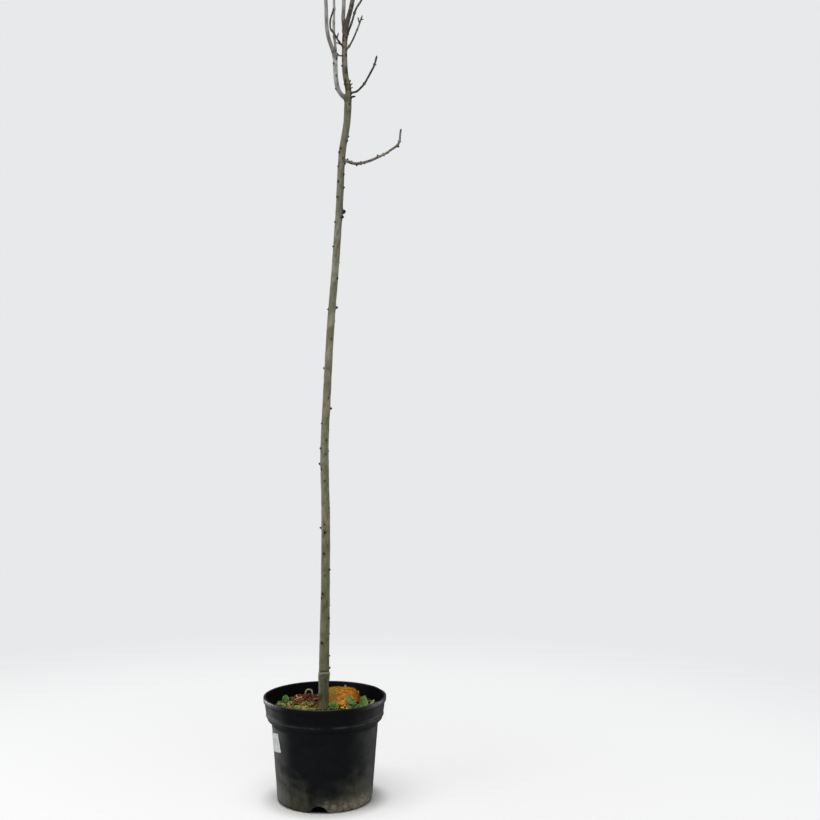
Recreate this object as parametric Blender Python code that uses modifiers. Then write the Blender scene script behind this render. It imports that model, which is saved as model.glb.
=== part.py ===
"""A young green ash in a nursery pot, bare in winter.

A whippy trunk stands in a pot filled with potting soil. It forks at about two metres
and carries a few upright boughs, which run on into masses of bare, opposite twigs.

Metres, +Z up. The origin is the centre of the pot's flat underside. The front of the
plant faces -Y.
"""

import math
import random
from collections import namedtuple

import bmesh
import bpy
import numpy as np

OBJECT_NAME = "potted_green_ash"

# Clearance between pieces that meet, and the distance under which points are welded
GAP = 0.0003
WELD_DISTANCE = 0.00001

# Edges that turn by more than this are drawn sharp
SHARP_ANGLE = math.radians(50.0)

# Pot, a moulded container of about 18 litres
POT_HEIGHT = 0.288
POT_THICKNESS = 0.0025
POT_FLOOR = 0.0035
LIP_RADIUS = 0.171
LIP_DEPTH = 0.013
LIP_ROUNDING = 0.002
COLLAR_TOP_RADIUS = 0.1672
COLLAR_FOOT_RADIUS = 0.1607
COLLAR_FOOT = 0.228
BEAD_HEIGHT = 0.239
BEAD_HALF_WIDTH = 0.004
BEAD_RISE = 0.0009
WALL_TOP_RADIUS = 0.1478
WALL_TOP = 0.2155
WALL_MIDDLE_RADIUS = 0.1338
WALL_MIDDLE = 0.040
WALL_FOOT_RADIUS = 0.1322
FOOT_ROUNDING = 0.006
FOOT_ROUNDING_STEPS = 4
POT_SIDES = 56

# Drain notches cut through the pot's bottom edge
NOTCH_COUNT = 4
NOTCH_WIDTH = 0.048
NOTCH_HEIGHT = 0.021
NOTCH_INNER_RADIUS = 0.102
NOTCH_OUTER_RADIUS = 0.142
NOTCH_SIDES = 24
NOTCH_TURN = math.radians(-93.0)

# Potting soil, filled to just under the rim
SOIL_TOP = 0.250

# Trunk, from its flat cut on the soil to its fork
TRUNK_FORK = 1.955
TRUNK_ROUTE = (
    (-0.003, 0.000, SOIL_TOP + GAP),
    (-0.003, 0.000, 0.330),
    (0.001, -0.002, 0.560),
    (0.002, -0.004, 0.800),
    (-0.001, -0.003, 0.975),
    (0.005, 0.001, 1.120),
    (0.0155, 0.004, 1.315),
    (0.0285, 0.005, 1.480),
    (0.040, 0.006, 1.655),
    (0.0495, 0.003, 1.812),
    (0.0605, 0.001, 1.880),
    (0.0648, 0.000, TRUNK_FORK),
)
TRUNK_DIAMETERS = ((0.250, 0.0302), (0.600, 0.0252), (1.350, 0.0208), (TRUNK_FORK, 0.0194))
# Root flare, graft union and fork, as height, spread and added diameter
TRUNK_SWELLINGS = ((0.250, 0.013, 0.0076), (0.340, 0.011, 0.0034), (1.940, 0.018, 0.0026))
# Close rings reach this many spreads either side of a swelling
SWELLING_REACH = 2.5
# The fork's rounded top, as distance below the fork and share of the trunk's thickness
TRUNK_ROUNDING = ((0.006, 1.0), (0.002, 0.85), (0.0, 0.55))
TRUNK_SPACING = 0.056
TRUNK_FINE_SPACING = 0.007
TRUNK_SIDES = 12

# Boughs, each one tapering limb: what it meets, its route, and its foot and tip diameters
Bough = namedtuple("Bough", "name meets route foot_diameter tip_diameter bud")
BOUGHS = (
    Bough(
        name="leader_bough",
        meets=("trunk",),
        route=(
            (0.0640, 0.000, 1.936),
            (0.0648, 0.000, 1.974),
            (0.0572, 0.002, 2.0145),
            (0.0545, 0.004, 2.058),
            (0.057, 0.000, 2.162),
        ),
        foot_diameter=0.0176,
        tip_diameter=0.0142,
        bud=False,
    ),
    Bough(
        name="left_bough",
        meets=("trunk", "leader_bough"),
        route=(
            (0.0640, -0.001, 1.946),
            (0.0486, -0.006, 1.957),
            (0.0395, -0.0105, 1.969),
            (0.0326, -0.016, 1.9936),
            (0.0305, -0.020, 2.025),
            (0.029, -0.021, 2.077),
        ),
        foot_diameter=0.0128,
        tip_diameter=0.0132,
        bud=False,
    ),
    Bough(
        name="left_outer_bough",
        meets=("left_bough",),
        route=(
            (0.030, -0.021, 2.062),
            (0.021, -0.024, 2.085),
            (0.014, -0.028, 2.104),
            (0.0055, -0.040, 2.200),
            (0.0045, -0.052, 2.290),
        ),
        foot_diameter=0.0112,
        tip_diameter=0.0092,
        bud=False,
    ),
    Bough(
        name="leader_right_bough",
        meets=("leader_bough",),
        route=(
            (0.056, 0.001, 2.140),
            (0.0635, -0.004, 2.167),
            (0.0725, -0.010, 2.197),
            (0.0805, -0.018, 2.235),
            (0.091, -0.028, 2.300),
        ),
        foot_diameter=0.0130,
        tip_diameter=0.0122,
        bud=False,
    ),
    Bough(
        name="leader_left_bough",
        meets=("leader_bough", "leader_right_bough"),
        route=(
            (0.056, 0.001, 2.142),
            (0.0508, 0.006, 2.172),
            (0.0512, 0.013, 2.205),
            (0.053, 0.038, 2.300),
        ),
        foot_diameter=0.0110,
        tip_diameter=0.0098,
        bud=False,
    ),
    Bough(
        name="hooked_bough",
        meets=("trunk", "leader_bough"),
        route=(
            (0.064, 0.001, 1.962),
            (0.076, 0.004, 1.9675),
            (0.087, 0.009, 1.972),
            (0.103, 0.015, 1.988),
            (0.125, 0.023, 2.026),
            (0.138, 0.027, 2.054),
            (0.142, 0.028, 2.070),
        ),
        foot_diameter=0.0062,
        tip_diameter=0.0058,
        bud=True,
    ),
    Bough(
        name="low_bough",
        meets=("trunk",),
        route=(
            (0.050, 0.001, 1.784),
            (0.088, -0.013, 1.7665),
            (0.119, -0.020, 1.771),
            (0.150, -0.026, 1.782),
            (0.184, -0.033, 1.800),
            (0.205, -0.036, 1.817),
            (0.211, -0.037, 1.850),
        ),
        foot_diameter=0.0088,
        tip_diameter=0.0056,
        bud=True,
    ),
)

# Masses of bare twigs, each one stem with opposite pairs of side twigs
Mass = namedtuple("Mass", "name meets route foot_diameter tip_diameter pairs first_pair turn longest seed")
MASSES = (
    Mass(
        name="leader_right_twigs",
        meets=("leader_right_bough",),
        route=(
            (0.0882, -0.0256, 2.284),
            (0.101, -0.035, 2.370),
            (0.117, -0.040, 2.540),
            (0.124, -0.036, 2.740),
            (0.130, -0.030, 2.940),
        ),
        foot_diameter=0.0114,
        tip_diameter=0.0052,
        pairs=5,
        first_pair=0.16,
        turn=0.3,
        longest=0.30,
        seed=11,
    ),
    Mass(
        name="left_outer_twigs",
        meets=("left_outer_bough",),
        route=(
            (0.0047, -0.0499, 2.274),
            (-0.008, -0.066, 2.370),
            (-0.034, -0.092, 2.550),
            (-0.052, -0.104, 2.780),
        ),
        foot_diameter=0.0082,
        tip_diameter=0.0050,
        pairs=4,
        first_pair=0.18,
        turn=1.2,
        longest=0.26,
        seed=23,
    ),
    Mass(
        name="leader_left_twigs",
        meets=("leader_left_bough",),
        route=(
            (0.0527, 0.0338, 2.284),
            (0.051, 0.055, 2.370),
            (0.032, 0.090, 2.550),
            (0.024, 0.104, 2.840),
        ),
        foot_diameter=0.0082,
        tip_diameter=0.0050,
        pairs=4,
        first_pair=0.20,
        turn=0.9,
        longest=0.26,
        seed=37,
    ),
    Mass(
        name="left_inner_twigs",
        meets=("left_bough", "left_outer_bough"),
        route=(
            (0.029, -0.020, 2.066),
            (0.0292, -0.012, 2.093),
            (0.026, -0.003, 2.122),
            (0.020, 0.032, 2.270),
            (-0.016, 0.066, 2.400),
            (-0.058, 0.092, 2.600),
        ),
        foot_diameter=0.0074,
        tip_diameter=0.0044,
        pairs=3,
        first_pair=0.46,
        turn=0.4,
        longest=0.17,
        seed=41,
    ),
    Mass(
        name="long_right_twig",
        meets=("leader_bough",),
        route=(
            (0.056, 0.001, 2.112),
            (0.0755, 0.013, 2.171),
            (0.0853, 0.022, 2.2065),
            (0.098, 0.032, 2.231),
            (0.140, 0.062, 2.330),
            (0.176, 0.084, 2.520),
        ),
        foot_diameter=0.0060,
        tip_diameter=0.0044,
        pairs=3,
        first_pair=0.42,
        turn=0.2,
        longest=0.16,
        seed=53,
    ),
    Mass(
        name="crossing_twig",
        meets=("leader_bough",),
        route=(
            (0.0535, 0.003, 2.092),
            (0.038, -0.008, 2.109),
            (0.027, -0.010, 2.127),
            (0.0165, -0.011, 2.142),
            (0.0155, -0.012, 2.162),
            (0.024, -0.010, 2.194),
        ),
        foot_diameter=0.0054,
        tip_diameter=0.0046,
        pairs=1,
        first_pair=0.28,
        turn=0.0,
        longest=0.012,
        seed=61,
    ),
    Mass(
        name="short_right_twig",
        meets=("leader_bough",),
        route=(
            (0.0545, 0.003, 2.082),
            (0.064, -0.003, 2.0905),
            (0.074, -0.009, 2.104),
            (0.0885, -0.018, 2.132),
            (0.1035, -0.029, 2.168),
        ),
        foot_diameter=0.0054,
        tip_diameter=0.0044,
        pairs=1,
        first_pair=0.84,
        turn=1.1,
        longest=0.013,
        seed=71,
    ),
)

# The rule that side twigs grow by
LAST_PAIR = 0.90
TURN_SPREAD = 0.35
LEAVING_ANGLE = math.radians(52.0)
UPTURN = 0.17
WOBBLE = 0.07
SHORTENING = 0.72
LENGTH_SPREAD = (0.78, 1.12)
TRIED_LENGTHS = (1.0, 0.65, 0.4)
SHORTEST_TWIG = 0.010
DIAMETER_SHARE = 0.66
TWIG_TIP_DIAMETER = 0.0038
SPUR_SPACING = 0.080
SPUR_LENGTH = 0.24
SPUR_FROM = 0.35
SPUR_END = 1.2
TWIG_CLEARANCE = 0.005
LIMB_SPACING = 0.012
TWIG_SPACING = 0.026
BOUGH_SIDES = 8
STEM_SIDES = 6
TWIG_SIDES = 4

# Terminal bud, as distance past the tip and width, both in tip diameters
BUD_RINGS = ((0.15, 0.92), (0.85, 1.45), (2.10, 0.30))

# Colours as linear red, green and blue, with roughness
POT_FINISH = ((0.006, 0.007, 0.009), 0.5)
SOIL_FINISH = ((0.05, 0.03, 0.02), 0.95)
BARK_FINISH = ((0.16, 0.15, 0.10), 0.8)
TWIG_FINISH = ((0.11, 0.10, 0.08), 0.75)

Limb = namedtuple("Limb", "path radii")


def start_clean():
    """Remove every object and make the part's two collections."""
    for thing in list(bpy.data.objects):
        bpy.data.objects.remove(thing, do_unlink=True)
    made = []
    for name in (OBJECT_NAME, OBJECT_NAME + "_cutters"):
        collection = bpy.data.collections.new(name)
        bpy.context.scene.collection.children.link(collection)
        made.append(collection)
    return made


def material(name, finish):
    """A Principled material with one colour and roughness."""
    colour, roughness = finish
    made = bpy.data.materials.new(name)
    made.use_nodes = True
    shader = made.node_tree.nodes["Principled BSDF"]
    shader.inputs["Base Color"].default_value = (*colour, 1.0)
    shader.inputs["Roughness"].default_value = roughness
    made.diffuse_color = (*colour, 1.0)
    return made


def evaluated_mesh(thing):
    """A new mesh of an object as its modifiers or bevel leave it."""
    bpy.context.view_layer.update()
    depsgraph = bpy.context.evaluated_depsgraph_get()
    return bpy.data.meshes.new_from_object(thing.evaluated_get(depsgraph))


def shade(mesh):
    """Smooth shading, with sharp edges where the surface turns hard."""
    mesh.shade_smooth()
    mesh.set_sharp_from_angle(angle=SHARP_ANGLE)


def turned(name, profile, collection):
    """A closed turned solid from a profile of (radius, height) points."""
    outline = bpy.data.meshes.new(name + "_profile")
    corners = [(radius, 0.0, height) for radius, height in profile]
    edges = [(index, index + 1) for index in range(len(corners) - 1)]
    outline.from_pydata(corners, edges, [])
    thing = bpy.data.objects.new(name, outline)
    collection.objects.link(thing)
    screw = thing.modifiers.new("turn", "SCREW")
    screw.axis = "Z"
    screw.steps = POT_SIDES
    screw.render_steps = POT_SIDES
    screw.use_merge_vertices = True
    screw.merge_threshold = WELD_DISTANCE
    solid = evaluated_mesh(thing)
    thing.modifiers.clear()
    thing.data = solid
    shade(solid)
    return thing


def pot_inside():
    """The pot's inner profile, from the middle of its floor up to the rim."""
    thickness = POT_THICKNESS
    return [
        (0.0, POT_FLOOR),
        (WALL_FOOT_RADIUS - FOOT_ROUNDING, POT_FLOOR),
        (WALL_FOOT_RADIUS - thickness, POT_FLOOR + FOOT_ROUNDING),
        (WALL_MIDDLE_RADIUS - thickness, WALL_MIDDLE),
        (WALL_TOP_RADIUS - thickness, WALL_TOP),
        (COLLAR_FOOT_RADIUS - thickness, COLLAR_FOOT),
        (COLLAR_TOP_RADIUS - thickness, POT_HEIGHT),
    ]


def pot_outside():
    """The pot's outer profile, from the lip's top down to the middle of the underside."""
    lip_foot = POT_HEIGHT - LIP_DEPTH
    collar_slope = (COLLAR_TOP_RADIUS - COLLAR_FOOT_RADIUS) / (lip_foot - COLLAR_FOOT)
    bead_radius = COLLAR_FOOT_RADIUS + collar_slope * (BEAD_HEIGHT - COLLAR_FOOT)
    profile = [
        (LIP_RADIUS - LIP_ROUNDING, POT_HEIGHT),
        (LIP_RADIUS, POT_HEIGHT - LIP_ROUNDING),
        (LIP_RADIUS, lip_foot + LIP_ROUNDING),
        (LIP_RADIUS - LIP_ROUNDING, lip_foot),
        (COLLAR_TOP_RADIUS, lip_foot - LIP_ROUNDING),
        (bead_radius, BEAD_HEIGHT + BEAD_HALF_WIDTH),
        (bead_radius + BEAD_RISE, BEAD_HEIGHT),
        (bead_radius - BEAD_RISE, BEAD_HEIGHT - BEAD_HALF_WIDTH),
        (COLLAR_FOOT_RADIUS, COLLAR_FOOT),
        (WALL_TOP_RADIUS, WALL_TOP),
        (WALL_MIDDLE_RADIUS, WALL_MIDDLE),
    ]
    for step in range(FOOT_ROUNDING_STEPS + 1):
        turn = math.pi / 2 * step / FOOT_ROUNDING_STEPS
        radius = WALL_FOOT_RADIUS - FOOT_ROUNDING * (1.0 - math.cos(turn))
        profile.append((radius, FOOT_ROUNDING * (1.0 - math.sin(turn))))
    profile.append((0.0, 0.0))
    return profile


def make_pot(parts, cutters):
    """The pot as one thin shell, with arched drain notches round its bottom edge."""
    pot = turned("pot", pot_inside() + pot_outside(), parts)
    middle = (NOTCH_INNER_RADIUS + NOTCH_OUTER_RADIUS) / 2.0
    depth = NOTCH_OUTER_RADIUS - NOTCH_INNER_RADIUS
    for index in range(NOTCH_COUNT):
        turn = NOTCH_TURN + 2.0 * math.pi * index / NOTCH_COUNT
        bpy.ops.mesh.primitive_cylinder_add(vertices=NOTCH_SIDES, radius=0.5, depth=1.0)
        cutter = bpy.context.object
        cutter.name = f"drain_notch_{index + 1}"
        cutter.scale = (NOTCH_HEIGHT * 2.0, NOTCH_WIDTH, depth)
        cutter.rotation_euler = (0.0, math.pi / 2, turn)
        cutter.location = (middle * math.cos(turn), middle * math.sin(turn), 0.0)
        into_collection(cutter, cutters)
        mark_as_cutter(cutter)
        cut(pot, cutter)
    pot.data.materials.append(material("pot_plastic", POT_FINISH))
    return pot


def make_soil(parts):
    """The potting soil that fills the pot, clear of its wall."""
    inner = pot_inside()
    radii = [radius for radius, height in inner]
    heights = [height for radius, height in inner]
    top_radius = float(np.interp(SOIL_TOP, heights[1:], radii[1:]))
    profile = [(0.0, SOIL_TOP), (top_radius - GAP, SOIL_TOP)]
    for radius, height in reversed(inner[:-1]):
        raised = height + GAP if height == POT_FLOOR else height
        profile.append((max(0.0, radius - GAP), raised))
    soil = turned("soil", profile, parts)
    soil.data.materials.append(material("potting_soil", SOIL_FINISH))
    return soil


def smooth_route(route, spacing):
    """Points on a smooth curve through a route, about one spacing apart.

    Each span is a cubic whose slope at a point blends the chords on either side, the
    shorter chord counting more.
    """
    points = np.array(route)
    steps = np.diff(points, axis=0)
    chords = np.linalg.norm(steps, axis=1)
    knots = np.concatenate(([0.0], np.cumsum(chords)))
    slopes = steps / chords[:, None]
    before, after = chords[:-1, None], chords[1:, None]
    blended = (slopes[:-1] * after + slopes[1:] * before) / (before + after)
    tangents = np.vstack((slopes[:1], blended, slopes[-1:]))
    at = np.linspace(0.0, knots[-1], max(2, round(knots[-1] / spacing)) + 1)
    span = np.clip(np.searchsorted(knots, at, side="right") - 1, 0, len(chords) - 1)
    share = ((at - knots[span]) / chords[span])[:, None]
    reach = chords[span][:, None]
    rest = 1.0 - share
    return (
        points[span] * (1.0 + 2.0 * share) * rest**2
        + points[span + 1] * share**2 * (3.0 - 2.0 * share)
        + tangents[span] * reach * share * rest**2
        - tangents[span + 1] * reach * share**2 * rest
    )


def tapered(path, foot_diameter, tip_diameter):
    """A limb whose thickness falls evenly from its foot to its tip."""
    return Limb(path, np.linspace(foot_diameter, tip_diameter, len(path)) / 2.0)


def with_bud(limb):
    """The limb with a terminal bud past its tip."""
    heading = limb.path[-1] - limb.path[-2]
    heading = heading / np.linalg.norm(heading)
    tip = limb.radii[-1]
    path = [limb.path[-1] + heading * (2.0 * tip * distance) for distance, width in BUD_RINGS]
    radii = [tip * width for distance, width in BUD_RINGS]
    return Limb(np.vstack((limb.path, path)), np.concatenate((limb.radii, radii)))


def trunk_limb():
    """The trunk's line and thickness, with close rings where it swells."""
    line = smooth_route(TRUNK_ROUTE, TRUNK_FINE_SPACING)
    height = line[:, 2]
    near = np.zeros(len(line), dtype=bool)
    for middle, spread, _ in TRUNK_SWELLINGS:
        near |= np.abs(height - middle) < SWELLING_REACH * spread
    every = max(1, round(TRUNK_SPACING / TRUNK_FINE_SPACING))
    near[::every] = True
    near[-1] = True
    line = line[near]
    height = line[:, 2]
    heights, diameters = zip(*TRUNK_DIAMETERS)
    diameter = np.interp(height, heights, diameters)
    for middle, spread, added in TRUNK_SWELLINGS:
        diameter = diameter + added * np.exp(-0.5 * ((height - middle) / spread) ** 2)
    rounding, shares = zip(*TRUNK_ROUNDING)
    diameter = diameter * np.interp(TRUNK_FORK - height, rounding[::-1], shares[::-1])
    return Limb(line, diameter / 2.0)


def distances(path, other):
    """The distance from each point of a path to each point of another."""
    return np.linalg.norm(path[:, None, :] - other[None, :, :], axis=2)


def keeps_clear(twig, limbs):
    """Whether a twig stays its clearance away from every limb given."""
    for limb in limbs:
        between = distances(twig.path, limb.path) - twig.radii[:, None] - limb.radii[None, :]
        if between.min() < TWIG_CLEARANCE:
            return False
    return True


def in_own_space(twig, stem, others):
    """Whether every point of a twig lies nearer to its own stem than to any other limb."""
    own = distances(twig.path, stem.path).min(axis=1)
    return all((distances(twig.path, other.path).min(axis=1) > own).all() for other in others)


def twig_route(foot, heading, turn, length, steps, rng):
    """A twig that leaves its stem sideways and bends up step by step towards the light."""
    level = np.cross(heading, (0.0, 1.0, 0.0))
    level = level / np.linalg.norm(level)
    across = np.cross(heading, level)
    sideways = level * math.cos(turn) + across * math.sin(turn)
    direction = heading * math.cos(LEAVING_ANGLE) + sideways * math.sin(LEAVING_ANGLE)
    points = [foot]
    for step in range(steps):
        sway = np.array([rng.uniform(-WOBBLE, WOBBLE) for axis in range(3)])
        direction = direction + sway + np.array((0.0, 0.0, UPTURN))
        direction = direction / np.linalg.norm(direction)
        points.append(points[-1] + direction * (length / steps))
    return np.array(points)


def sprout(parent, share, turn, length, rng):
    """One side twig at a share of its parent's length."""
    place = share * (len(parent.path) - 1)
    index = min(int(place), len(parent.path) - 2)
    part = place - index
    foot = parent.path[index] * (1.0 - part) + parent.path[index + 1] * part
    heading = parent.path[index + 1] - parent.path[index]
    heading = heading / np.linalg.norm(heading)
    steps = max(2, round(length / TWIG_SPACING))
    path = twig_route(foot, heading, turn, length, steps, rng)
    thickness = 2.0 * parent.radii[index] * DIAMETER_SHARE
    return tapered(path, max(thickness, TWIG_TIP_DIAMETER), TWIG_TIP_DIAMETER)


def side_twig(parent, share, turn, length, rng, stem, others, grown):
    """The longest of the tried lengths that stays in the mass's space and clear of all limbs."""
    for tried in TRIED_LENGTHS:
        if length * tried < SHORTEST_TWIG:
            return None
        twig = sprout(parent, share, turn, length * tried, rng)
        beyond = Limb(twig.path[1:], twig.radii[1:])
        near = [limb for limb in grown if limb is not parent]
        if in_own_space(beyond, stem, others) and keeps_clear(beyond, others + near):
            return twig
    return None


def grow_mass(mass, stem, others):
    """The stem and its opposite pairs of twigs, each pair a quarter turn from the last.

    Lower twigs are longer. Long twigs carry short spurs by the same rule.
    """
    rng = random.Random(mass.seed)
    grown = [stem]
    for pair in range(mass.pairs):
        along = pair / max(1, mass.pairs - 1)
        share = mass.first_pair + (LAST_PAIR - mass.first_pair) * along
        turn = mass.turn + pair * math.pi / 2 + rng.uniform(-TURN_SPREAD, TURN_SPREAD)
        for half in (0.0, math.pi):
            length = mass.longest * (1.0 - SHORTENING * along) * rng.uniform(*LENGTH_SPREAD)
            twig = side_twig(stem, share, turn + half, length, rng, stem, others, grown)
            if twig is None:
                continue
            grown.append(twig)
            grow_spurs(twig, turn, rng, stem, others, grown)
    return grown


def grow_spurs(twig, turn, rng, stem, others, grown):
    """Pairs of short spurs along the outer part of a long twig."""
    length = np.linalg.norm(np.diff(twig.path, axis=0), axis=1).sum()
    pairs = int(length / SPUR_SPACING)
    for pair in range(pairs):
        share = SPUR_FROM + (LAST_PAIR - SPUR_FROM) * (pair + 0.5) / pairs
        for half in (0.0, math.pi):
            reach = length * SPUR_LENGTH * rng.uniform(*LENGTH_SPREAD) * (SPUR_END - share)
            around = turn + pair * math.pi / 2 + half
            spur = side_twig(twig, share, around, reach, rng, stem, others, grown)
            if spur is not None:
                grown.append(spur)


def into_collection(thing, collection):
    """Move an object into one collection."""
    for owner in list(thing.users_collection):
        owner.objects.unlink(thing)
    collection.objects.link(thing)


def mark_as_cutter(thing):
    """Show an object as wire and keep it out of renders."""
    thing.display_type = "WIRE"
    thing.hide_render = True


def cut(thing, cutter):
    """Cut one object with another, live."""
    boolean = thing.modifiers.new(f"cut_{cutter.name}", "BOOLEAN")
    boolean.operation = "DIFFERENCE"
    boolean.object = cutter


def tube(name, limb, sides, collection):
    """A closed tube along a limb, as a mesh."""
    curve = bpy.data.curves.new(name, "CURVE")
    curve.dimensions = "3D"
    curve.bevel_depth = 1.0
    curve.bevel_resolution = (sides - 4) // 2
    curve.use_fill_caps = True
    spline = curve.splines.new("POLY")
    spline.points.add(len(limb.path) - 1)
    for point, place, radius in zip(spline.points, limb.path, limb.radii):
        point.co = (*place, 1.0)
        point.radius = radius
    drawn = bpy.data.objects.new(name + "_curve", curve)
    collection.objects.link(drawn)
    mesh = evaluated_mesh(drawn)
    bpy.data.objects.remove(drawn, do_unlink=True)
    welded = bmesh.new()
    welded.from_mesh(mesh)
    bmesh.ops.remove_doubles(welded, verts=welded.verts, dist=WELD_DISTANCE)
    welded.to_mesh(mesh)
    welded.free()
    mesh.name = name
    shade(mesh)
    thing = bpy.data.objects.new(name, mesh)
    collection.objects.link(thing)
    return thing


def sleeve(name, limb, sides, cutters):
    """A cutter one gap wider and longer than a limb, to cut its neighbours clear of it."""
    first = limb.path[0] - limb.path[1]
    last = limb.path[-1] - limb.path[-2]
    path = limb.path.copy()
    path[0] = path[0] + first / np.linalg.norm(first) * GAP
    path[-1] = path[-1] + last / np.linalg.norm(last) * GAP
    made = tube(name + "_sleeve", Limb(path, limb.radii + GAP), sides, cutters)
    mark_as_cutter(made)
    return made


def join_twigs(name, grown, parts):
    """One solid from a stem and its twigs, by a Boolean union on a collection."""
    stem = tube(name, grown[0], STEM_SIDES, parts)
    if len(grown) == 1:
        return stem
    loose = bpy.data.collections.new(name + "_loose")
    bpy.context.scene.collection.children.link(loose)
    for index, limb in enumerate(grown[1:]):
        tube(f"{name}_{index}", limb, TWIG_SIDES, loose)
    union = stem.modifiers.new("join_twigs", "BOOLEAN")
    union.operation = "UNION"
    union.operand_type = "COLLECTION"
    union.collection = loose
    joined = evaluated_mesh(stem)
    shade(joined)
    stem.modifiers.clear()
    stem.data = joined
    for thing in list(loose.objects):
        bpy.data.objects.remove(thing, do_unlink=True)
    bpy.data.collections.remove(loose)
    return stem


def make_limbs(parts, cutters):
    """The trunk, the boughs and the twig masses, each cut clear of what it meets."""
    bark = material("bark", BARK_FINISH)
    twig_bark = material("twig_bark", TWIG_FINISH)
    limbs = {"trunk": trunk_limb()}
    sleeves = {"trunk": sleeve("trunk", limbs["trunk"], TRUNK_SIDES, cutters)}
    tube("trunk", limbs["trunk"], TRUNK_SIDES, parts).data.materials.append(bark)
    for bough in BOUGHS:
        path = smooth_route(bough.route, LIMB_SPACING)
        limb = tapered(path, bough.foot_diameter, bough.tip_diameter)
        limb = with_bud(limb) if bough.bud else limb
        limbs[bough.name] = limb
        sleeves[bough.name] = sleeve(bough.name, limb, BOUGH_SIDES, cutters)
        made = tube(bough.name, limb, BOUGH_SIDES, parts)
        made.data.materials.append(bark)
        for neighbour in bough.meets:
            cut(made, sleeves[neighbour])
    for mass in MASSES:
        path = smooth_route(mass.route, LIMB_SPACING)
        limbs[mass.name] = tapered(path, mass.foot_diameter, mass.tip_diameter)
    twigs = []
    for mass in MASSES:
        stem = limbs[mass.name]
        others = [limb for name, limb in limbs.items() if name != mass.name and name not in mass.meets]
        grown = grow_mass(mass, stem, others + twigs)
        twigs += grown[1:]
        made = join_twigs(mass.name, [with_bud(limb) for limb in grown], parts)
        made.data.materials.append(twig_bark)
        for neighbour in mass.meets:
            cut(made, sleeves[neighbour])


def main():
    """Make the whole part."""
    parts, cutters = start_clean()
    make_pot(parts, cutters)
    make_soil(parts)
    make_limbs(parts, cutters)
    bpy.context.view_layer.update()


main()
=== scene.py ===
"""The looks of a potted green ash, bare in winter.

Dresses the plant's fixed solids with a moulded pot and its filling, a trunk and boughs
with bark relief, and masses of twigs carried on to finer shoots and winter buds.

Metres, +Z up, the front towards -Y, the origin in the middle of the pot's underside.
"""

import functools
import math
import random
from collections import namedtuple

import bpy
import numpy as np
from bpy.props import FloatProperty, FloatVectorProperty, IntProperty, PointerProperty
from bpy.types import Operator, Panel, PropertyGroup
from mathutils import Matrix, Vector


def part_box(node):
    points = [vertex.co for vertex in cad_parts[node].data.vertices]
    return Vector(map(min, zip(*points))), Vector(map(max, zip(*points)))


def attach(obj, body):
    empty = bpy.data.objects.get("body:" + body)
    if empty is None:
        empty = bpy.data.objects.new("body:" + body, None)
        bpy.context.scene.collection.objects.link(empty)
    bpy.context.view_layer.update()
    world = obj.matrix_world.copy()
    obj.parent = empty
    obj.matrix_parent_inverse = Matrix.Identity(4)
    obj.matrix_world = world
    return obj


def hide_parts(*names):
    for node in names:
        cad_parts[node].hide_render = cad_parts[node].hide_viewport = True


bl_info = {
    "name": "Potted green ash",
    "version": (1, 0, 0),
    "blender": (4, 5, 0),
    "location": "View3D > Sidebar > Ash",
    "description": "Dresses a bare potted ash with bark, shoots, buds, pot, soil and litter",
    "category": "Object",
}

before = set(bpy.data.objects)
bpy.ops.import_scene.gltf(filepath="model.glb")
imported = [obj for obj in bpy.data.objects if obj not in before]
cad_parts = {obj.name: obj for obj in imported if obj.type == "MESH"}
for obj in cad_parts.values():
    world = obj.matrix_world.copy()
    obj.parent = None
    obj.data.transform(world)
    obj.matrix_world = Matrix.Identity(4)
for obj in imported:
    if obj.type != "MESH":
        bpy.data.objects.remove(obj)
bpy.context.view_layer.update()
MILLIMETRE = 0.001

# Between the filling and the pot
GAP = 0.0003
# Pot: its profile from foot to lip, as tall and wide as its solid
POT_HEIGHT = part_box("pot")[1].z
LIP_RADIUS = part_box("pot")[1].x
POT_THICKNESS = 0.0025
POT_FLOOR = 0.0035
LIP_DEPTH = 0.013
COLLAR_TOP_RADIUS = 0.1672
COLLAR_FOOT_RADIUS = 0.1607
COLLAR_FOOT = 0.228
BEAD_HEIGHT = 0.2375
WALL_TOP_RADIUS = 0.1478
WALL_TOP = 0.2155
WALL_MIDDLE_RADIUS = 0.1338
WALL_MIDDLE = 0.040
WALL_FOOT_RADIUS = 0.1322
BEAD_WIDTH = 0.0028
GROOVE_UNDER_BEAD = 0.0062
GROOVE_SHARE = 0.6
# Radii that round the profile's corners, up the outside and down the inside
OUTER_ROUNDING = (0.012, 0.008, 0.0035, 0.0035, 0.0012, 0.0017, 0.0022)
INNER_ROUNDING = (0.0016, 0.004, 0.004, 0.008, 0.006)
POT_COLUMNS = 160
POT_ROW = 0.007
FILLET_POINTS = 5

# The soft wall's oval, the cells of its dents, and the bruise in its rim
OVAL_TURN = math.radians(70.0)
DENT_CELLS = (0.07, 9)
DENT_SEED = 5
PINCH_TURN = math.radians(24.0)
PINCH_WIDTH = math.radians(7.0)
PINCH_FROM = 0.86

# Drain notches through the pot's bottom edge
NOTCH_COUNT = 4
NOTCH_WIDTH = 0.048
NOTCH_HEIGHT = 0.021
NOTCH_INNER_RADIUS = 0.102
NOTCH_OUTER_RADIUS = 0.142
NOTCH_TURN = math.radians(-93.0)
# Edges bent more than this stay sharp
SHARP_ANGLE = math.radians(42.0)

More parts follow.
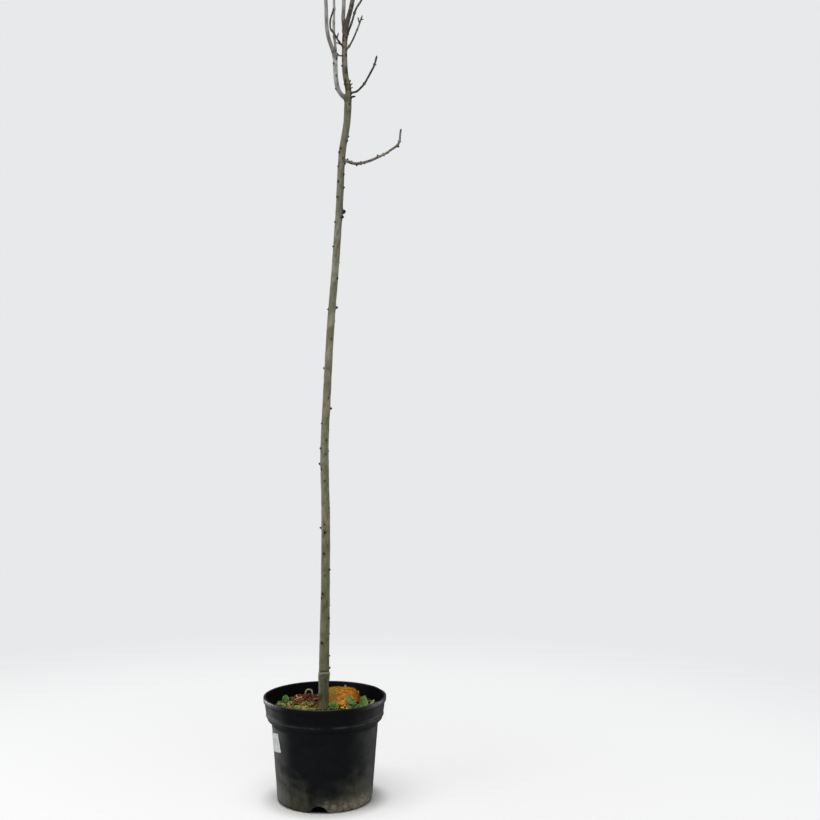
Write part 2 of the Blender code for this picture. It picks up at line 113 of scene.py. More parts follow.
# Soil and trunk
SOIL_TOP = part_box("soil")[1].z
TRUNK_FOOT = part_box("trunk")[0].z
TRUNK_FORK = 1.955
TRUNK_ROUTE = (
    (-0.003, 0.0, TRUNK_FOOT), (-0.003, 0.0, 0.33), (0.001, -0.002, 0.56), (0.002, -0.004, 0.8),
    (-0.001, -0.003, 0.975), (0.005, 0.001, 1.12), (0.0155, 0.004, 1.315), (0.0285, 0.005, 1.48),
    (0.04, 0.006, 1.655), (0.0495, 0.003, 1.812), (0.0605, 0.001, 1.88), (0.0648, 0.0, TRUNK_FORK),
)
TRUNK_DIAMETERS = ((0.25, 0.0302), (0.6, 0.0252), (1.35, 0.0208), (TRUNK_FORK, 0.0194))
# Root flare, graft union and fork, as height, spread and added diameter
TRUNK_SWELLINGS = ((0.250, 0.011, 0.0040), (0.340, 0.011, 0.0034), (1.940, 0.018, 0.0026))
# The bark narrows towards the leader that goes on, over this length
FORK_LENGTH = 0.036
FORK_SHARE = 0.90

# Graft union, a healed cut right round the trunk that tilts a little
GRAFT_HEIGHT = 0.3555
GRAFT_TILT = 0.0012
GRAFT_GROOVE = 0.0021
GRAFT_GROOVE_DEPTH = 0.0013
GRAFT_BULGE = 0.0016
SLIT_TURN = math.radians(-88.0)
SLIT_HEIGHT = 0.346
SLIT_WIDTH = 0.011
SLIT_OPENING = 0.0028
SLIT_DEPTH = 0.0014
UNDER_GRAFT_LOSS = 0.0014

# Bark relief: length along the limb of its waves, furrows and grain, and a furrow's width
WAVE_LENGTH = 0.030
FURROW_LENGTH = 0.013
GRAIN_LENGTH = 0.005
FURROW_WIDTH = 0.0042

# Limbs meet in a fillet, and a hidden foot is rounded off, both as shares of the thinner
# limb's radius. A stem that carries a bough on starts a little wider than the bough's end.
FILLET_SHARE = 1.35
FILLET_SEARCH = 0.05
FOOT_ROUNDING = 2.5
ONWARD_ROUNDING = 0.9
TIP_ROUNDING = 2.6
TIP_SHARE = 0.94
TIP_LENGTH = 0.012
# A mass whose first pair sits below this share of its length carries its bough on
ONWARD_PAIR = 0.25
# Distance between the rings of a tube
FINE_SPACING = 0.0018
TWIG_FINE_SPACING = 0.003
SPUR_FINE_SPACING = 0.0015

# Sides of each tube and seeds of its relief
TRUNK_COLUMNS = 56
BOUGH_COLUMNS = 32
STEM_COLUMNS = 16
SIDE_COLUMNS = 8
TRUNK_SEED = 100
BOUGH_SEED = 200

# Winter buds: share of the usual spacing, the first pair's distance from the foot, and size,
# on twigs and on shoots thinner than a radius, then the same on boughs with the last bud's size
BUD_SEED = 900
SHOOT_RADIUS = 0.0016
TWIG_BUDS = (1.0, 0.020, 1.0)
SHOOT_BUDS = (0.5, 0.012, 0.62)
BOUGH_BUDS = (0.034, 0.022, 1.1, 1.3)
# A bud's size is a base and a share of the limb's radius there. It leans out from the limb.
BUD_SIZE = (0.0026, 0.30)
BUD_SHAPE = (1.35, 0.95, 0.78)
LAST_BUD_SIZE = (0.0044, 0.45)
LAST_BUD_SHAPE = (1.35, 0.86, 0.80)
BUD_LEAN = 0.62
BUD_LOOK = {"rows": 7, "columns": 8, "square": 0.9, "taper": 0.55, "dents": 0.04, "seed": 77}

# A limb's bark takes on its own tone from this many radii past its foot, over this many more
TONE_START = 2.0
TONE_RUN = 2.6
# Painted shade: how dark the bark is painted in the angle of a fork, where limbs meet
FORK_PAINTED_SHADE = 0.82

# Boughs: what each meets, foot and tip diameters, whether a bud ends it, bark tone and route
Bough = namedtuple("Bough", "name meets foot_diameter tip_diameter bud tone route")
BOUGHS = (
    Bough("leader_bough", ("trunk",), 0.0176, 0.0142, False, "mossy", (
        (0.064, 0.0, 1.936), (0.0648, 0.0, 1.974), (0.0572, 0.002, 2.0145), (0.0545, 0.004, 2.058),
        (0.057, 0.0, 2.162),
    )),
    Bough("left_bough", ("trunk", "leader_bough"), 0.0128, 0.0132, False, "pale", (
        (0.064, -0.001, 1.946), (0.0486, -0.006, 1.957), (0.0395, -0.0105, 1.969),
        (0.0326, -0.016, 1.9936), (0.0305, -0.02, 2.025), (0.029, -0.021, 2.077),
    )),
    Bough("left_outer_bough", ("left_bough",), 0.0112, 0.0092, False, "grey", (
        (0.03, -0.021, 2.062), (0.021, -0.024, 2.085), (0.014, -0.028, 2.104), (0.0055, -0.04, 2.2),
        (0.0045, -0.052, 2.29),
    )),
    Bough("leader_right_bough", ("leader_bough",), 0.013, 0.0122, False, "umber", (
        (0.056, 0.001, 2.14), (0.0635, -0.004, 2.167), (0.0725, -0.01, 2.197), (0.0805, -0.018, 2.235),
        (0.091, -0.028, 2.3),
    )),
    Bough("leader_left_bough", ("leader_bough", "leader_right_bough"), 0.011, 0.0098, False, "slate", (
        (0.056, 0.001, 2.142), (0.0508, 0.006, 2.172), (0.0512, 0.013, 2.205), (0.053, 0.038, 2.3),
    )),
    Bough("hooked_bough", ("trunk", "leader_bough"), 0.0062, 0.0058, True, "dusky", (
        (0.064, 0.001, 1.962), (0.076, 0.004, 1.9675), (0.087, 0.009, 1.972), (0.103, 0.015, 1.988),
        (0.125, 0.023, 2.026), (0.138, 0.027, 2.054), (0.142, 0.028, 2.07),
    )),
    Bough("low_bough", ("trunk",), 0.0088, 0.0056, True, "tan", (
        (0.051, 0.001, 1.779), (0.088, -0.013, 1.7665), (0.119, -0.02, 1.771), (0.15, -0.026, 1.782),
        (0.184, -0.033, 1.8), (0.205, -0.036, 1.817), (0.211, -0.037, 1.85),
    )),
)

# Masses of bare twigs, each a stem with opposite pairs of side twigs: what the stem meets, foot
# and tip diameters, number of pairs, the first pair's share of the length and turn, the longest
# side twig, the seed, bark tone and route
MASS_PARTS = "name meets foot_diameter tip_diameter pairs first_pair turn longest seed tone route"
Mass = namedtuple("Mass", MASS_PARTS)
MASSES = (
    Mass("leader_right_twigs", ("leader_right_bough",), 0.0114, 0.0052, 5, 0.16, 0.3, 0.3, 11, "umber", (
        (0.0882, -0.0256, 2.284), (0.101, -0.035, 2.37), (0.117, -0.04, 2.54), (0.124, -0.036, 2.74),
        (0.13, -0.03, 2.94),
    )),
    Mass("left_outer_twigs", ("left_outer_bough",), 0.0082, 0.005, 4, 0.18, 1.2, 0.26, 23, "grey", (
        (0.0047, -0.0499, 2.274), (-0.008, -0.066, 2.37), (-0.034, -0.092, 2.55), (-0.052, -0.104, 2.78),
    )),
    Mass("leader_left_twigs", ("leader_left_bough",), 0.0082, 0.005, 4, 0.2, 0.9, 0.26, 37, "slate", (
        (0.0527, 0.0338, 2.284), (0.051, 0.055, 2.37), (0.032, 0.09, 2.55), (0.024, 0.104, 2.84),
    )),
    Mass("left_inner_twigs", ("left_bough", "left_outer_bough"),
        0.0074, 0.0044, 3, 0.46, 0.4, 0.17, 41, "grey", (
        (0.029, -0.02, 2.066), (0.0292, -0.012, 2.093), (0.026, -0.003, 2.122), (0.02, 0.032, 2.27),
        (-0.016, 0.066, 2.4), (-0.058, 0.092, 2.6),
    )),
    Mass("long_right_twig", ("leader_bough",), 0.006, 0.0044, 3, 0.42, 0.2, 0.16, 53, "dusky", (
        (0.056, 0.001, 2.112), (0.0755, 0.013, 2.171), (0.0853, 0.022, 2.2065), (0.098, 0.032, 2.231),
        (0.14, 0.062, 2.33), (0.176, 0.084, 2.52),
    )),
    Mass("crossing_twig", ("leader_bough",), 0.0054, 0.0046, 1, 0.28, 0.0, 0.012, 61, "dusky", (
        (0.0535, 0.003, 2.092), (0.038, -0.008, 2.109), (0.027, -0.01, 2.127), (0.0165, -0.011, 2.142),
        (0.0155, -0.012, 2.162), (0.024, -0.01, 2.194),
    )),
    Mass("short_right_twig", ("leader_bough",), 0.0054, 0.0044, 1, 0.84, 1.1, 0.013, 71, "umber", (
        (0.0545, 0.003, 2.082), (0.064, -0.003, 2.0905), (0.074, -0.009, 2.104), (0.0885, -0.018, 2.132),
        (0.1035, -0.029, 2.168),
    )),
)

# The rule that side twigs grow by
LAST_PAIR = 0.90
TURN_SPREAD = 0.35
LEAVING_ANGLE = math.radians(52.0)
UPTURN = 0.17
WOBBLE = 0.07
SHORTENING = 0.72
LENGTH_SPREAD = (0.78, 1.12)
TRIED_LENGTHS = (1.0, 0.65, 0.4)
SHORTEST_TWIG = 0.010
DIAMETER_SHARE = 0.66
TWIG_TIP_DIAMETER = 0.0038
SPUR_SPACING = 0.080
SPUR_LENGTH = 0.24
SPUR_FROM = 0.35
SPUR_END = 1.2
TWIG_CLEARANCE = 0.005
LIMB_SPACING = 0.012
TWIG_SPACING = 0.026

# Finer shoots, which the rule adds above this height
FINE_FROM_HEIGHT = 2.27
FINE_SEED = 400
FINE_SHARE = 0.62
FINE_LENGTHS = (0.016, 0.052)
FINE_TIP_DIAMETER = 0.0022
FINE_FOOT_SHARE = 1.35

# Knobs of old buds and pruned shoots: place along an axis, turn round the limb in degrees
# and width in millimetres. The axis is height, or x on the bough that lies flat.
KNOB_AXES = {"trunk": 2, "leader_bough": 2, "left_bough": 2, "low_bough": 0}
KNOBS = {
    "trunk": (
        (1.9535, -8, 6.4), (1.951, -114, 4.0), (1.945, -138, 4.6), (1.934, -61, 4.8), (1.834, -30, 6.0),
        (1.81, -118, 5.5), (1.799, -142, 5.5), (1.785, -72, 3.8), (1.769, -20, 5.6), (1.761, -140, 5.0),
        (1.738, -40, 6.6), (1.719, -122, 6.4), (1.703, -24, 6.0), (1.675, -128, 6.4), (1.637, -8, 12.0),
        (1.62, -36, 11.0), (1.606, -146, 5.0), (1.538, -152, 5.0), (1.449, -40, 6.2), (1.369, 4, 8.6),
        (1.362, -158, 5.0), (1.28, -60, 4.4), (1.199, -178, 5.4), (1.115, -62, 4.4), (1.086, 2, 7.6),
        (1.044, -144, 5.0), (0.998, -66, 4.8), (0.976, -146, 6.0), (0.96, -71, 4.6), (0.933, 178, 7.0),
        (0.917, -130, 5.0), (0.885, -86, 5.4), (0.81, -33, 4.8), (0.765, -104, 4.8), (0.754, 180, 6.8),
        (0.744, -100, 7.8), (0.684, -110, 6.2), (0.639, -32, 6.0), (0.622, -99, 4.4), (0.572, -120, 6.8),
        (0.56, -135, 4.6), (0.504, -34, 5.8), (0.435, -116, 7.2), (0.397, -8, 4.6), (0.363, -2, 6.0),
    ),
    "leader_bough": (
        (2.16, -22, 5.4), (2.12, -47, 7.0), (2.112, -112, 5.0), (2.097, -136, 5.4), (2.072, -60, 4.6),
        (2.041, -150, 4.6), (1.997, -4, 5.4), (1.99, -140, 5.6), (1.987, -18, 5.8), (1.982, -126, 5.0),
        (1.974, -52, 5.6), (1.9635, -30, 6.2),
    ),
    "left_bough": (
        (2.074, -125, 5.6), (2.054, -58, 4.8), (2.042, -125, 5.2), (2.0095, -78, 4.4), (1.976, -150, 4.4),
    ),
    "low_bough": (
        (0.061, 172, 5.6), (0.0712, 150, 5.4), (0.077, -60, 4.4), (0.089, -28, 6.0), (0.111, -30, 3.6),
        (0.1495, 176, 6.4), (0.175, -40, 3.8), (0.2008, -14, 6.4),
    ),
}
# Short spurs and stubs on the crown's limbs: thickness at foot and tip in millimetres, and route
SPURS = (
    (4.4, 4.0, (
        (0.033, -0.02, 2.0735), (0.0385, -0.016, 2.0672), (0.0455, -0.009, 2.0668),
        (0.051, -0.002, 2.0715),
    )),
    (3.6, 3.2, (
        (0.049, -0.001, 2.097), (0.043, -0.006, 2.0995), (0.0345, -0.009, 2.103), (0.0275, -0.01, 2.1025),
    )),
    (1.6, 8.6, (
        (0.066, -0.004, 1.9522), (0.0735, -0.0065, 1.953), (0.08, -0.008, 1.9538), (0.0856, -0.009, 1.954),
    )),
    (4.2, 2.6, (
        (0.064, -0.003, 1.987), (0.0725, -0.005, 1.9885), (0.078, -0.0065, 1.9912),
    )),
    (4.2, 2.8, (
        (0.065, -0.004, 1.9765), (0.0735, -0.006, 1.978), (0.0782, -0.007, 1.98),
    )),
    (2.8, 3.2, (
        (0.1005, -0.027, 2.161), (0.105, -0.0285, 2.162), (0.1095, -0.03, 2.1624),
    )),
)

# Knobs on the side away from the front, drawn by a seeded rule, in the same units
HIDDEN_KNOBS = 34
HIDDEN_KNOB_HEIGHTS = (0.38, 1.86)
HIDDEN_KNOB_WIDTHS = (4.0, 7.0)
HIDDEN_KNOB_TURNS = (35.0, 145.0)
HIDDEN_KNOB_SEED = 9
KNOB_LOOK = {"rows": 9, "columns": 12, "square": 0.8, "taper": 0.25, "dents": 0.12, "seed": 12}

# Litter on the soil: middle and spread of each heap
MULCH_HEAP = ((-0.060, 0.074), (0.034, 0.040))
STRAW_HEAP = ((-0.070, 0.004), (0.034, 0.026))
GRAIN_HEAP = ((0.051, -0.004), (0.010, 0.009))
# The soil rises under two of the heaps: share of the heap's spread, and height
SOIL_HEAPS = ((MULCH_HEAP, 1.0, 0.015), (GRAIN_HEAP, 1.6, 0.011))
TRUNK_RISE = 0.003
TRUNK_RISE_RADIUS = 0.030
# The filling's profile, its rounding and its surface's fine grain
SOIL_COLUMNS = 180
SOIL_ROW = 0.0035
SOIL_ROUNDING = (0.0, 0.006, 0.008, 0.004, 0.004, 0.0015, 0.0)
SOIL_EDGE_DROP = 0.002
SOIL_GRAIN = 0.0005
SOIL_SEED = 3
LITTER_REACH = 0.150
TRUNK_KEEP_OUT = 0.020
# What lies in or beside the heaps: shortest and longest, shares of the length for width and
# thickness, rings and sides, how square and dented it is, and how far it is lifted and tilted
Litter = namedtuple("Litter", "seed lengths widths thicknesses rings sides square dents lift tilt")
CRUMBS = Litter(21, (0.002, 0.0065), (0.6, 1.0), (0.5, 0.9), 3, 6, 0.9, 0.25, 0.35, 0.25)
CHIPS = Litter(31, (0.006, 0.021), (0.30, 0.75), (0.10, 0.26), 5, 8, 0.5, 0.28, 0.35, 0.25)
GRAINS = Litter(61, (0.007, 0.015), (0.45, 0.85), (0.12, 0.35), 5, 8, 0.7, 0.35, 2.0, 1.0)
CHIP_TINTS = {"red": ("3d120b", "84402a"), "brown": ("2c150d", "6a4226"), "pale": ("8a5440", "cda086")}
# The highest that a piece lies over the soil on others
HEAPING = 0.006
STRAW_TINTS = {"dry": ("938848", "cfc070"), "mossy": ("5f6f2e", "98a052")}
STRAW_SEED = 51
STRAW_LENGTHS = (0.014, 0.034)
STRAW_THICKNESS = 0.0012
STRAW_RINGS = 6
STRAW_SIDES = 4
STRAW_BEND = 0.9
STRAW_SLOPE = 0.18
STRAW_LIFTS = (0.0015, 0.006)

# Weeds' leaves: foot, heading, length, width, bend and green
Weed = namedtuple("Weed", "foot heading length width bend tone")
WEEDS = (
    Weed((-0.117, 0.052), (0.12, -0.2, 1.0), 0.029, 0.019, 0.5, "fresh"),
    Weed((-0.122, 0.046), (-0.75, -0.45, 0.75), 0.02, 0.013, 0.8, "fresh"),
    Weed((-0.112, 0.04), (0.8, -0.4, 0.45), 0.022, 0.012, 0.8, "pale"),
    Weed((-0.098, 0.07), (0.35, -0.15, 0.8), 0.016, 0.009, 0.8, "deep"),
    Weed((-0.06, 0.02), (0.85, -0.25, 0.45), 0.03, 0.012, 0.7, "fresh"),
    Weed((-0.085, -0.012), (0.55, -0.4, 0.6), 0.024, 0.012, 0.9, "pale"),
    Weed((-0.045, -0.014), (-0.7, -0.3, 0.55), 0.022, 0.01, 0.8, "straw"),
    Weed((-0.145, 0.046), (0.95, -0.35, 0.1), 0.046, 0.012, 0.5, "straw"),
    Weed((-0.15, 0.03), (0.8, 0.4, 0.16), 0.04, 0.01, 0.5, "straw"),
    Weed((0.04, -0.011), (-1.0, -0.08, 0.62), 0.034, 0.019, 0.5, "fresh"),
    Weed((0.022, -0.01), (-0.1, -0.45, 0.8), 0.024, 0.017, 1.0, "fresh"),
    Weed((0.044, 0.018), (0.4, -0.3, 0.6), 0.022, 0.012, 0.9, "pale"),
    Weed((0.094, 0.002), (-0.8, -0.1, 1.0), 0.055, 0.016, 0.35, "grey"),
    Weed((0.092, -0.006), (-0.85, -0.15, 0.5), 0.036, 0.015, 0.5, "deep"),
    Weed((0.074, -0.01), (0.55, -0.25, 0.6), 0.026, 0.014, 0.8, "deep"),
    Weed((0.05, 0.088), (0.05, -0.1, 1.0), 0.049, 0.011, 0.3, "straw"),
    Weed((0.086, 0.085), (0.1, -0.1, 1.0), 0.033, 0.007, 0.3, "straw"),
    Weed((0.086, -0.008), (0.6, -0.3, 0.55), 0.024, 0.014, 0.9, "fresh"),
    Weed((0.1, 0.018), (0.3, -0.3, 1.0), 0.038, 0.02, 0.45, "bright"),
    Weed((0.104, 0.012), (0.8, -0.3, 0.5), 0.024, 0.013, 0.9, "pale"),
    Weed((0.094, 0.008), (-0.6, -0.3, 0.5), 0.022, 0.012, 0.9, "fresh"),
    Weed((0.12, 0.022), (0.5, 0.1, 0.65), 0.028, 0.007, 0.6, "pale"),
    Weed((0.12, 0.02), (0.9, -0.2, 0.25), 0.022, 0.006, 0.6, "straw"),
    Weed((0.118, 0.026), (-0.2, 0.2, 0.85), 0.018, 0.005, 0.7, "pale"),
)
# Low rosettes of small weed leaves: middle, number of leaves, their length and tone
ROSETTES = (
    ((0.026, -0.02), 7, 0.014, "fresh"), ((0.076, -0.014), 8, 0.014, "fresh"),
    ((0.094, 0.006), 7, 0.016, "fresh"), ((0.122, 0.012), 6, 0.014, "pale"),
    ((-0.124, 0.022), 7, 0.014, "pale"), ((-0.095, 0.026), 6, 0.013, "fresh"),
    ((-0.052, -0.034), 6, 0.012, "pale"), ((0.015, -0.075), 7, 0.015, "fresh"),
    ((0.085, -0.082), 6, 0.013, "pale"), ((-0.08, -0.09), 7, 0.014, "fresh"),
    ((0.035, 0.112), 6, 0.014, "fresh"), ((-0.02, 0.12), 5, 0.012, "pale"),
    ((0.118, 0.07), 6, 0.013, "grey"),
)
ROSETTE_WIDTH_SHARE = 0.62
ROSETTE_SEED = 17
WEED_GRID = (13, 9)
WEED_THICKNESS = 0.0005
# A pale stem that arches over the mulch, and its foot and tip diameters
ARCHED_STEM = (
    (-0.0625, 0.094, 0.257), (-0.0622, 0.093, 0.27), (-0.0585, 0.092, 0.2785), (-0.052, 0.091, 0.2815),
    (-0.0455, 0.09, 0.279), (-0.042, 0.089, 0.271), (-0.0412, 0.088, 0.26),
)
ARCHED_STEM_DIAMETERS = (0.0058, 0.0040)
ARCHED_STEM_COLUMNS = 10
ARCHED_STEM_SPACING = 0.002
WEED_GREENS = {
    "fresh": "568a2e", "bright": "7cab4c", "deep": "324f1c", "pale": "8fa558", "grey": "74955a",
    "straw": "aca05e",
}

# Fallen leaf that leans up behind the weeds
LEAF_MIDDLE = (0.044, 0.046)
LEAF_FOOT_HEIGHT = 0.0025
LEAF_VEINS = 7
LEAF_GRID = (61, 71)
LEAF_TOOTH = 0.018
LEAF_THICKNESS = 0.0006

# Paper label on the pot's left side, blank, stuck on a little askew
LABEL_TURN = math.radians(-157.2)
LABEL_HEIGHT = 0.1712
LABEL_TILT = 0.0058
LABEL_GRID = (25, 33)
LABEL_PROUD = 0.0007
LABEL_CREASE = 0.0004
LABEL_THICKNESS = 0.0003

# Bark tones: light, middle and dark colours, and how mossy and how blotchy the bark is
TRUNK_TONE = "olive"
LEADER_TONE = "mossy"
Bark = namedtuple("Bark", "light middle dark moss blotches")
BARK_TONES = {
    "olive": Bark("8b8974", "6b6956", "36342a", 0.5, 0.0),
    "mossy": Bark("726d55", "534e37", "25221a", 0.7, 0.90),
    "tan": Bark("7a746b", "5c574f", "322e28", 0.10, 0.35),
    "pale": Bark("a3a39f", "85857f", "4a4946", 0.15, 0.0),
    "grey": Bark("8a8884", "6e6c67", "3a3835", 0.15, 0.0),
    "dusky": Bark("47443d", "302d27", "171511", 0.15, 0.70),
    "slate": Bark("82837d", "63635e", "383733", 0.15, 0.0),
    "umber": Bark("66635a", "45423a", "201e19", 0.15, 0.70),
}

# Colours that lie over or in a material's own, as sRGB
TINTS = {
    "algae": "5a5b36",
    "weathered bark": "5e5b50",
    "grey skin": "75716a",
    "moss": "62643a",
    "pores": "b3ad93",
    "blotches": "1e1b14",
    # Laid by the dark mark: the furrows' colour, and painted shade in forks, round knobs and in the graft
    "furrows": "2b2820",
    "leaf scars": "a79f8a",
    "bud black": "14100c",
    "bud brown": "352a20",
    "pot blue": "0f1216",
    "scuffs": "2c2f32",
    "pale mud": "988e7c",
    # Painted highlight along the pot's bead
    "worn bead": "333639",
    "clean collar": "040507",
    # Dust, with painted top light, on faces that look up
    "dust": "454543",
    "paper": "d2d5d6",
    "soiled paper": "94979a",
    # Painted shade low inside the pot
    "soaked soil": "020202",
    "leaf brown": "7d4606",
    "leaf ochre": "98700f",
    "leaf rust": "964f0c",
    "leaf green": "66721a",
    "leaf rim": "8a4418",
    "leaf yellow": "b9851e",
    "leaf veins": "d09a34",
    "leaf specks": "58360a",
}
# Shader nodes by a plain name, with the settings that they always have here
NODES = {
    "between": ("MapRange", {"interpolation_type": "SMOOTHSTEP"}),
    "mix": ("Mix", {"data_type": "RGBA"}),
    "times": ("Math", {"operation": "MULTIPLY"}),
    "plus": ("Math", {"operation": "ADD"}),
    "minus": ("Math", {"operation": "SUBTRACT"}),
    "larger": ("Math", {"operation": "MAXIMUM"}),
}
# What a weed's rib and rim add to its green
WEED_PALENESS = (0.24, 0.28, 0.14)
# Heights over which the trunk's algae thin out, and over which its bark weathers grey
LOW_BARK = (0.25, 1.60)
HIGH_BARK = (1.45, 1.85)

# The leader's bark is greyer round this height
LEADER_GREY_HEIGHT = 2.062

# The photo's level camera, its lens and sensor in millimetres and its shift in pixels
CAMERA_PLACE = (0.237, -3.42, 1.124)
CAMERA_LENS = 53.87
CAMERA_SENSOR = 36.0
CAMERA_RISE = -15.0
FRAME_WIDTH = 820

# The floor shows this much less in the pot's gloss, as under a softly flagged studio light
FLOOR_GLOSS_LOSS = 0.85

# Near the plant the floor glows a little by itself, which keeps its shadows soft
FLOOR_GLOW_NEAR = 0.36
FLOOR_GLOW_STRENGTH = 1.58
# The glow fades out under and round the pot's foot, a painted contact shadow
FLOOR_PAINTED_SHADOW_UNDER_POT = (0.128, 0.20)
# Distances over which the floor fades into the surroundings, and where it ends
FLOOR_FADE = (0.35, 2.6)
FLOOR_RADIUS = 30.0

# Lamps: the setting with its power, place, target, width, height and what it doesn't do
Lamp = namedtuple("Lamp", "name power place target width height switched_off")
LAMPS = (
    Lamp("top_light", "top_power", (-0.4, -0.8, 4.2), (0.0, 0.0, 1.0), 3.2, 3.2, None),
    Lamp("side_light", "side_power", (-3.4, -2.2, 2.6), (0.0, 0.0, 1.2), 2.4, 2.4, None),
    Lamp("left_edge_light", "left_power", (-3.3, 2.1, 0.20), (0.0, 0.0, 0.2), 0.8, 0.12, "visible_diffuse"),
    Lamp("right_edge_light", "right_power", (3.6, 1.7, 0.20), (0.0, 0.0, 0.2), 0.8, 0.12, "visible_diffuse"),
    Lamp("front_light", "front_power", (1.2, -4.2, 2.2), (0.0, 0.0, 1.1), 3.0, 3.0, "visible_glossy"),
)

# A limb's middle line and radii, a piece's surface, and a knob on the bark
Limb = namedtuple("Limb", "path radii")
Shape = namedtuple("Shape", "places faces marks")
Knob = namedtuple("Knob", "place axis size along turn width")


def hex_colour(code):
    """Linear red, green and blue of an sRGB hex code."""
    channels = np.array([int(code[index : index + 2], 16) for index in (0, 2, 4)]) / 255.0
    linear = np.where(channels <= 0.04045, channels / 12.92, ((channels + 0.055) / 1.055) ** 2.4)
    return tuple(float(value) for value in linear)


def per_metre(millimetres):
    """How many times a pattern of that many millimetres repeats in a metre."""
    return 1000.0 / millimetres


def opaque(colour):
    """A tint's name, an sRGB code or three linear parts as a colour that hides what is under it."""
    parts = hex_colour(TINTS.get(colour, colour)) if isinstance(colour, str) else colour
    return (*parts, 1.0)


def add_node(tree, kind, *inputs, output=None, **settings):
    """A new shader node's output, with the node's settings, and its inputs set or linked in order.

    The kind is a plain name from the table or Blender's own. None leaves an input as it is.
    """
    kind, usual = NODES.get(kind, (kind, {}))
    node = tree.nodes.new(f"ShaderNode{kind}")
    for name, value in {**usual, **settings}.items():
        setattr(node, name, value)
    for socket, value in zip([socket for socket in node.inputs if socket.enabled], inputs):
        if isinstance(value, bpy.types.NodeSocket):
            tree.links.new(value, socket)
        elif value is not None:
            socket.default_value = opaque(value) if socket.type == "RGBA" else value
    return node.outputs[output] if output else next(socket for socket in node.outputs if socket.enabled)


class Paint:
    """A material in the making: its nodes, its shader and the colour laid on so far."""

    def __init__(self, name, roughness, specular):
        self.made = bpy.data.materials.new(name)
        self.made.use_nodes = True
        self.tree = self.made.node_tree
        self.node = functools.partial(add_node, self.tree)
        self.shader = self.tree.nodes["Principled BSDF"]
        self.shader.inputs["Roughness"].default_value = roughness
        self.shader.inputs["Specular IOR Level"].default_value = specular
        self.solid = self.node("TexCoord", output="Object")
        self.colour = None

    def lay(self, factor, colour):
        """Lays another colour over the material's own, by a factor."""
        self.colour = self.node("mix", factor, self.colour, colour)

    def stretched(self, sizes, place=None):
        """A place divided by a pattern's size along each axis, in millimetres."""
        return self.node("Mapping", place or self.solid, None, None, [per_metre(size) for size in sizes])

    def lumps(self, sizes, detail=2.0, roughness=0.5, place=None):
        """Soft noise from 0 to 1 whose lumps have the given sizes in millimetres."""
        return self.node("TexNoise", self.stretched(sizes, place), 1.0, detail, roughness)

    def off(self, value, middle):
        """How far a value is from a middle one, on either side."""
        return self.node("Math", self.node("minus", value, middle), 0.0, operation="ABSOLUTE")

    def done(self, relief=None, depth=0.0):
        """The finished material, with bump from a relief of 0 to 1 times a depth in millimetres."""
        self.tree.links.new(self.colour, self.shader.inputs["Base Color"])
        if relief:
            bump = self.node("Bump", 1.0, depth * MILLIMETRE, None, relief)
            self.tree.links.new(bump, self.shader.inputs["Normal"])
        return self.made


def piece_from(name, shape, material, replaced=(), uv=None):
    """An object on the plant's body from places, arrays of faces and marks on each place."""
    mesh = bpy.data.meshes.new(name)
    corners = np.concatenate([faces.ravel() for faces in shape.faces]).astype(np.int32)
    sides = np.concatenate([np.full(len(faces), faces.shape[1]) for faces in shape.faces])
    starts = np.concatenate(([0], np.cumsum(sides)[:-1])).astype(np.int32)
    mesh.vertices.add(len(shape.places))
    mesh.loops.add(len(corners))
    mesh.polygons.add(len(sides))
    mesh.vertices.foreach_set("co", shape.places.astype(np.float32).ravel())
    mesh.loops.foreach_set("vertex_index", corners)
    mesh.polygons.foreach_set("loop_start", starts)
    mesh.update(calc_edges=True)
    for mark, values in shape.marks.items():
        kind, key = ("FLOAT_VECTOR", "vector") if values.ndim == 2 else ("FLOAT", "value")
        attribute = mesh.attributes.new(mark, kind, "POINT")
        attribute.data.foreach_set(key, values.astype(np.float32).ravel())
    if uv is not None:
        layer = mesh.uv_layers.new(name="UVMap")
        layer.data.foreach_set("uv", uv[corners].astype(np.float32).ravel())
    mesh.shade_smooth()
    mesh.materials.append(material)
    piece = bpy.data.objects.new(name, mesh)
    bpy.context.scene.collection.objects.link(piece)
    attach(piece, "root")
    if replaced:
        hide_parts(*replaced)
    return piece


def joined(shapes):
    """Several shapes as one, their faces and marks kept in step."""
    offsets = np.cumsum([0] + [len(shape.places) for shape in shapes[:-1]])
    faces = [each + offset for shape, offset in zip(shapes, offsets) for each in shape.faces]
    marks = {mark: np.concatenate([shape.marks[mark] for shape in shapes]) for mark in shapes[0].marks}
    return Shape(np.concatenate([shape.places for shape in shapes]), faces, marks)


def grid_faces(rows, columns, closed=True):
    """Quads between neighbouring rows of places, where a closed row goes on to its start."""
    row = np.arange(rows - 1)[:, None] * columns
    column = np.arange(columns if closed else columns - 1)[None, :]
    after = (column + 1) % columns
    quads = (row + column, row + after, row + columns + after, row + columns + column)
    return np.stack(quads, axis=-1).reshape(-1, 4)


def tube_faces(rows, columns):
    """A closed tube's quads, and the fans to the two middle points that follow its rings."""
    column = np.arange(columns)
    after = (column + 1) % columns
    top = (rows - 1) * columns
    foot = np.full(columns, rows * columns)
    foot_fan = np.stack((foot, after, column), axis=-1)
    top_fan = np.stack((foot + 1, top + column, top + after), axis=-1)
    return [grid_faces(rows, columns), np.concatenate((foot_fan, top_fan))]


def copied(points, rows, columns):
    """Many closed tubes of the same rings as one shape, from the points of each."""
    offsets = (np.arange(len(points)) * points.shape[1])[:, None, None]
    faces = [(each[None] + offsets).reshape(-1, each.shape[1])[:, ::-1] for each in tube_faces(rows, columns)]
    return Shape(points.reshape(-1, 3), faces, {})


def sheet(places, marks=None):
    """An open grid of places as a shape."""
    return Shape(places.reshape(-1, 3), [grid_faces(*places.shape[:2], closed=False)], marks or {})


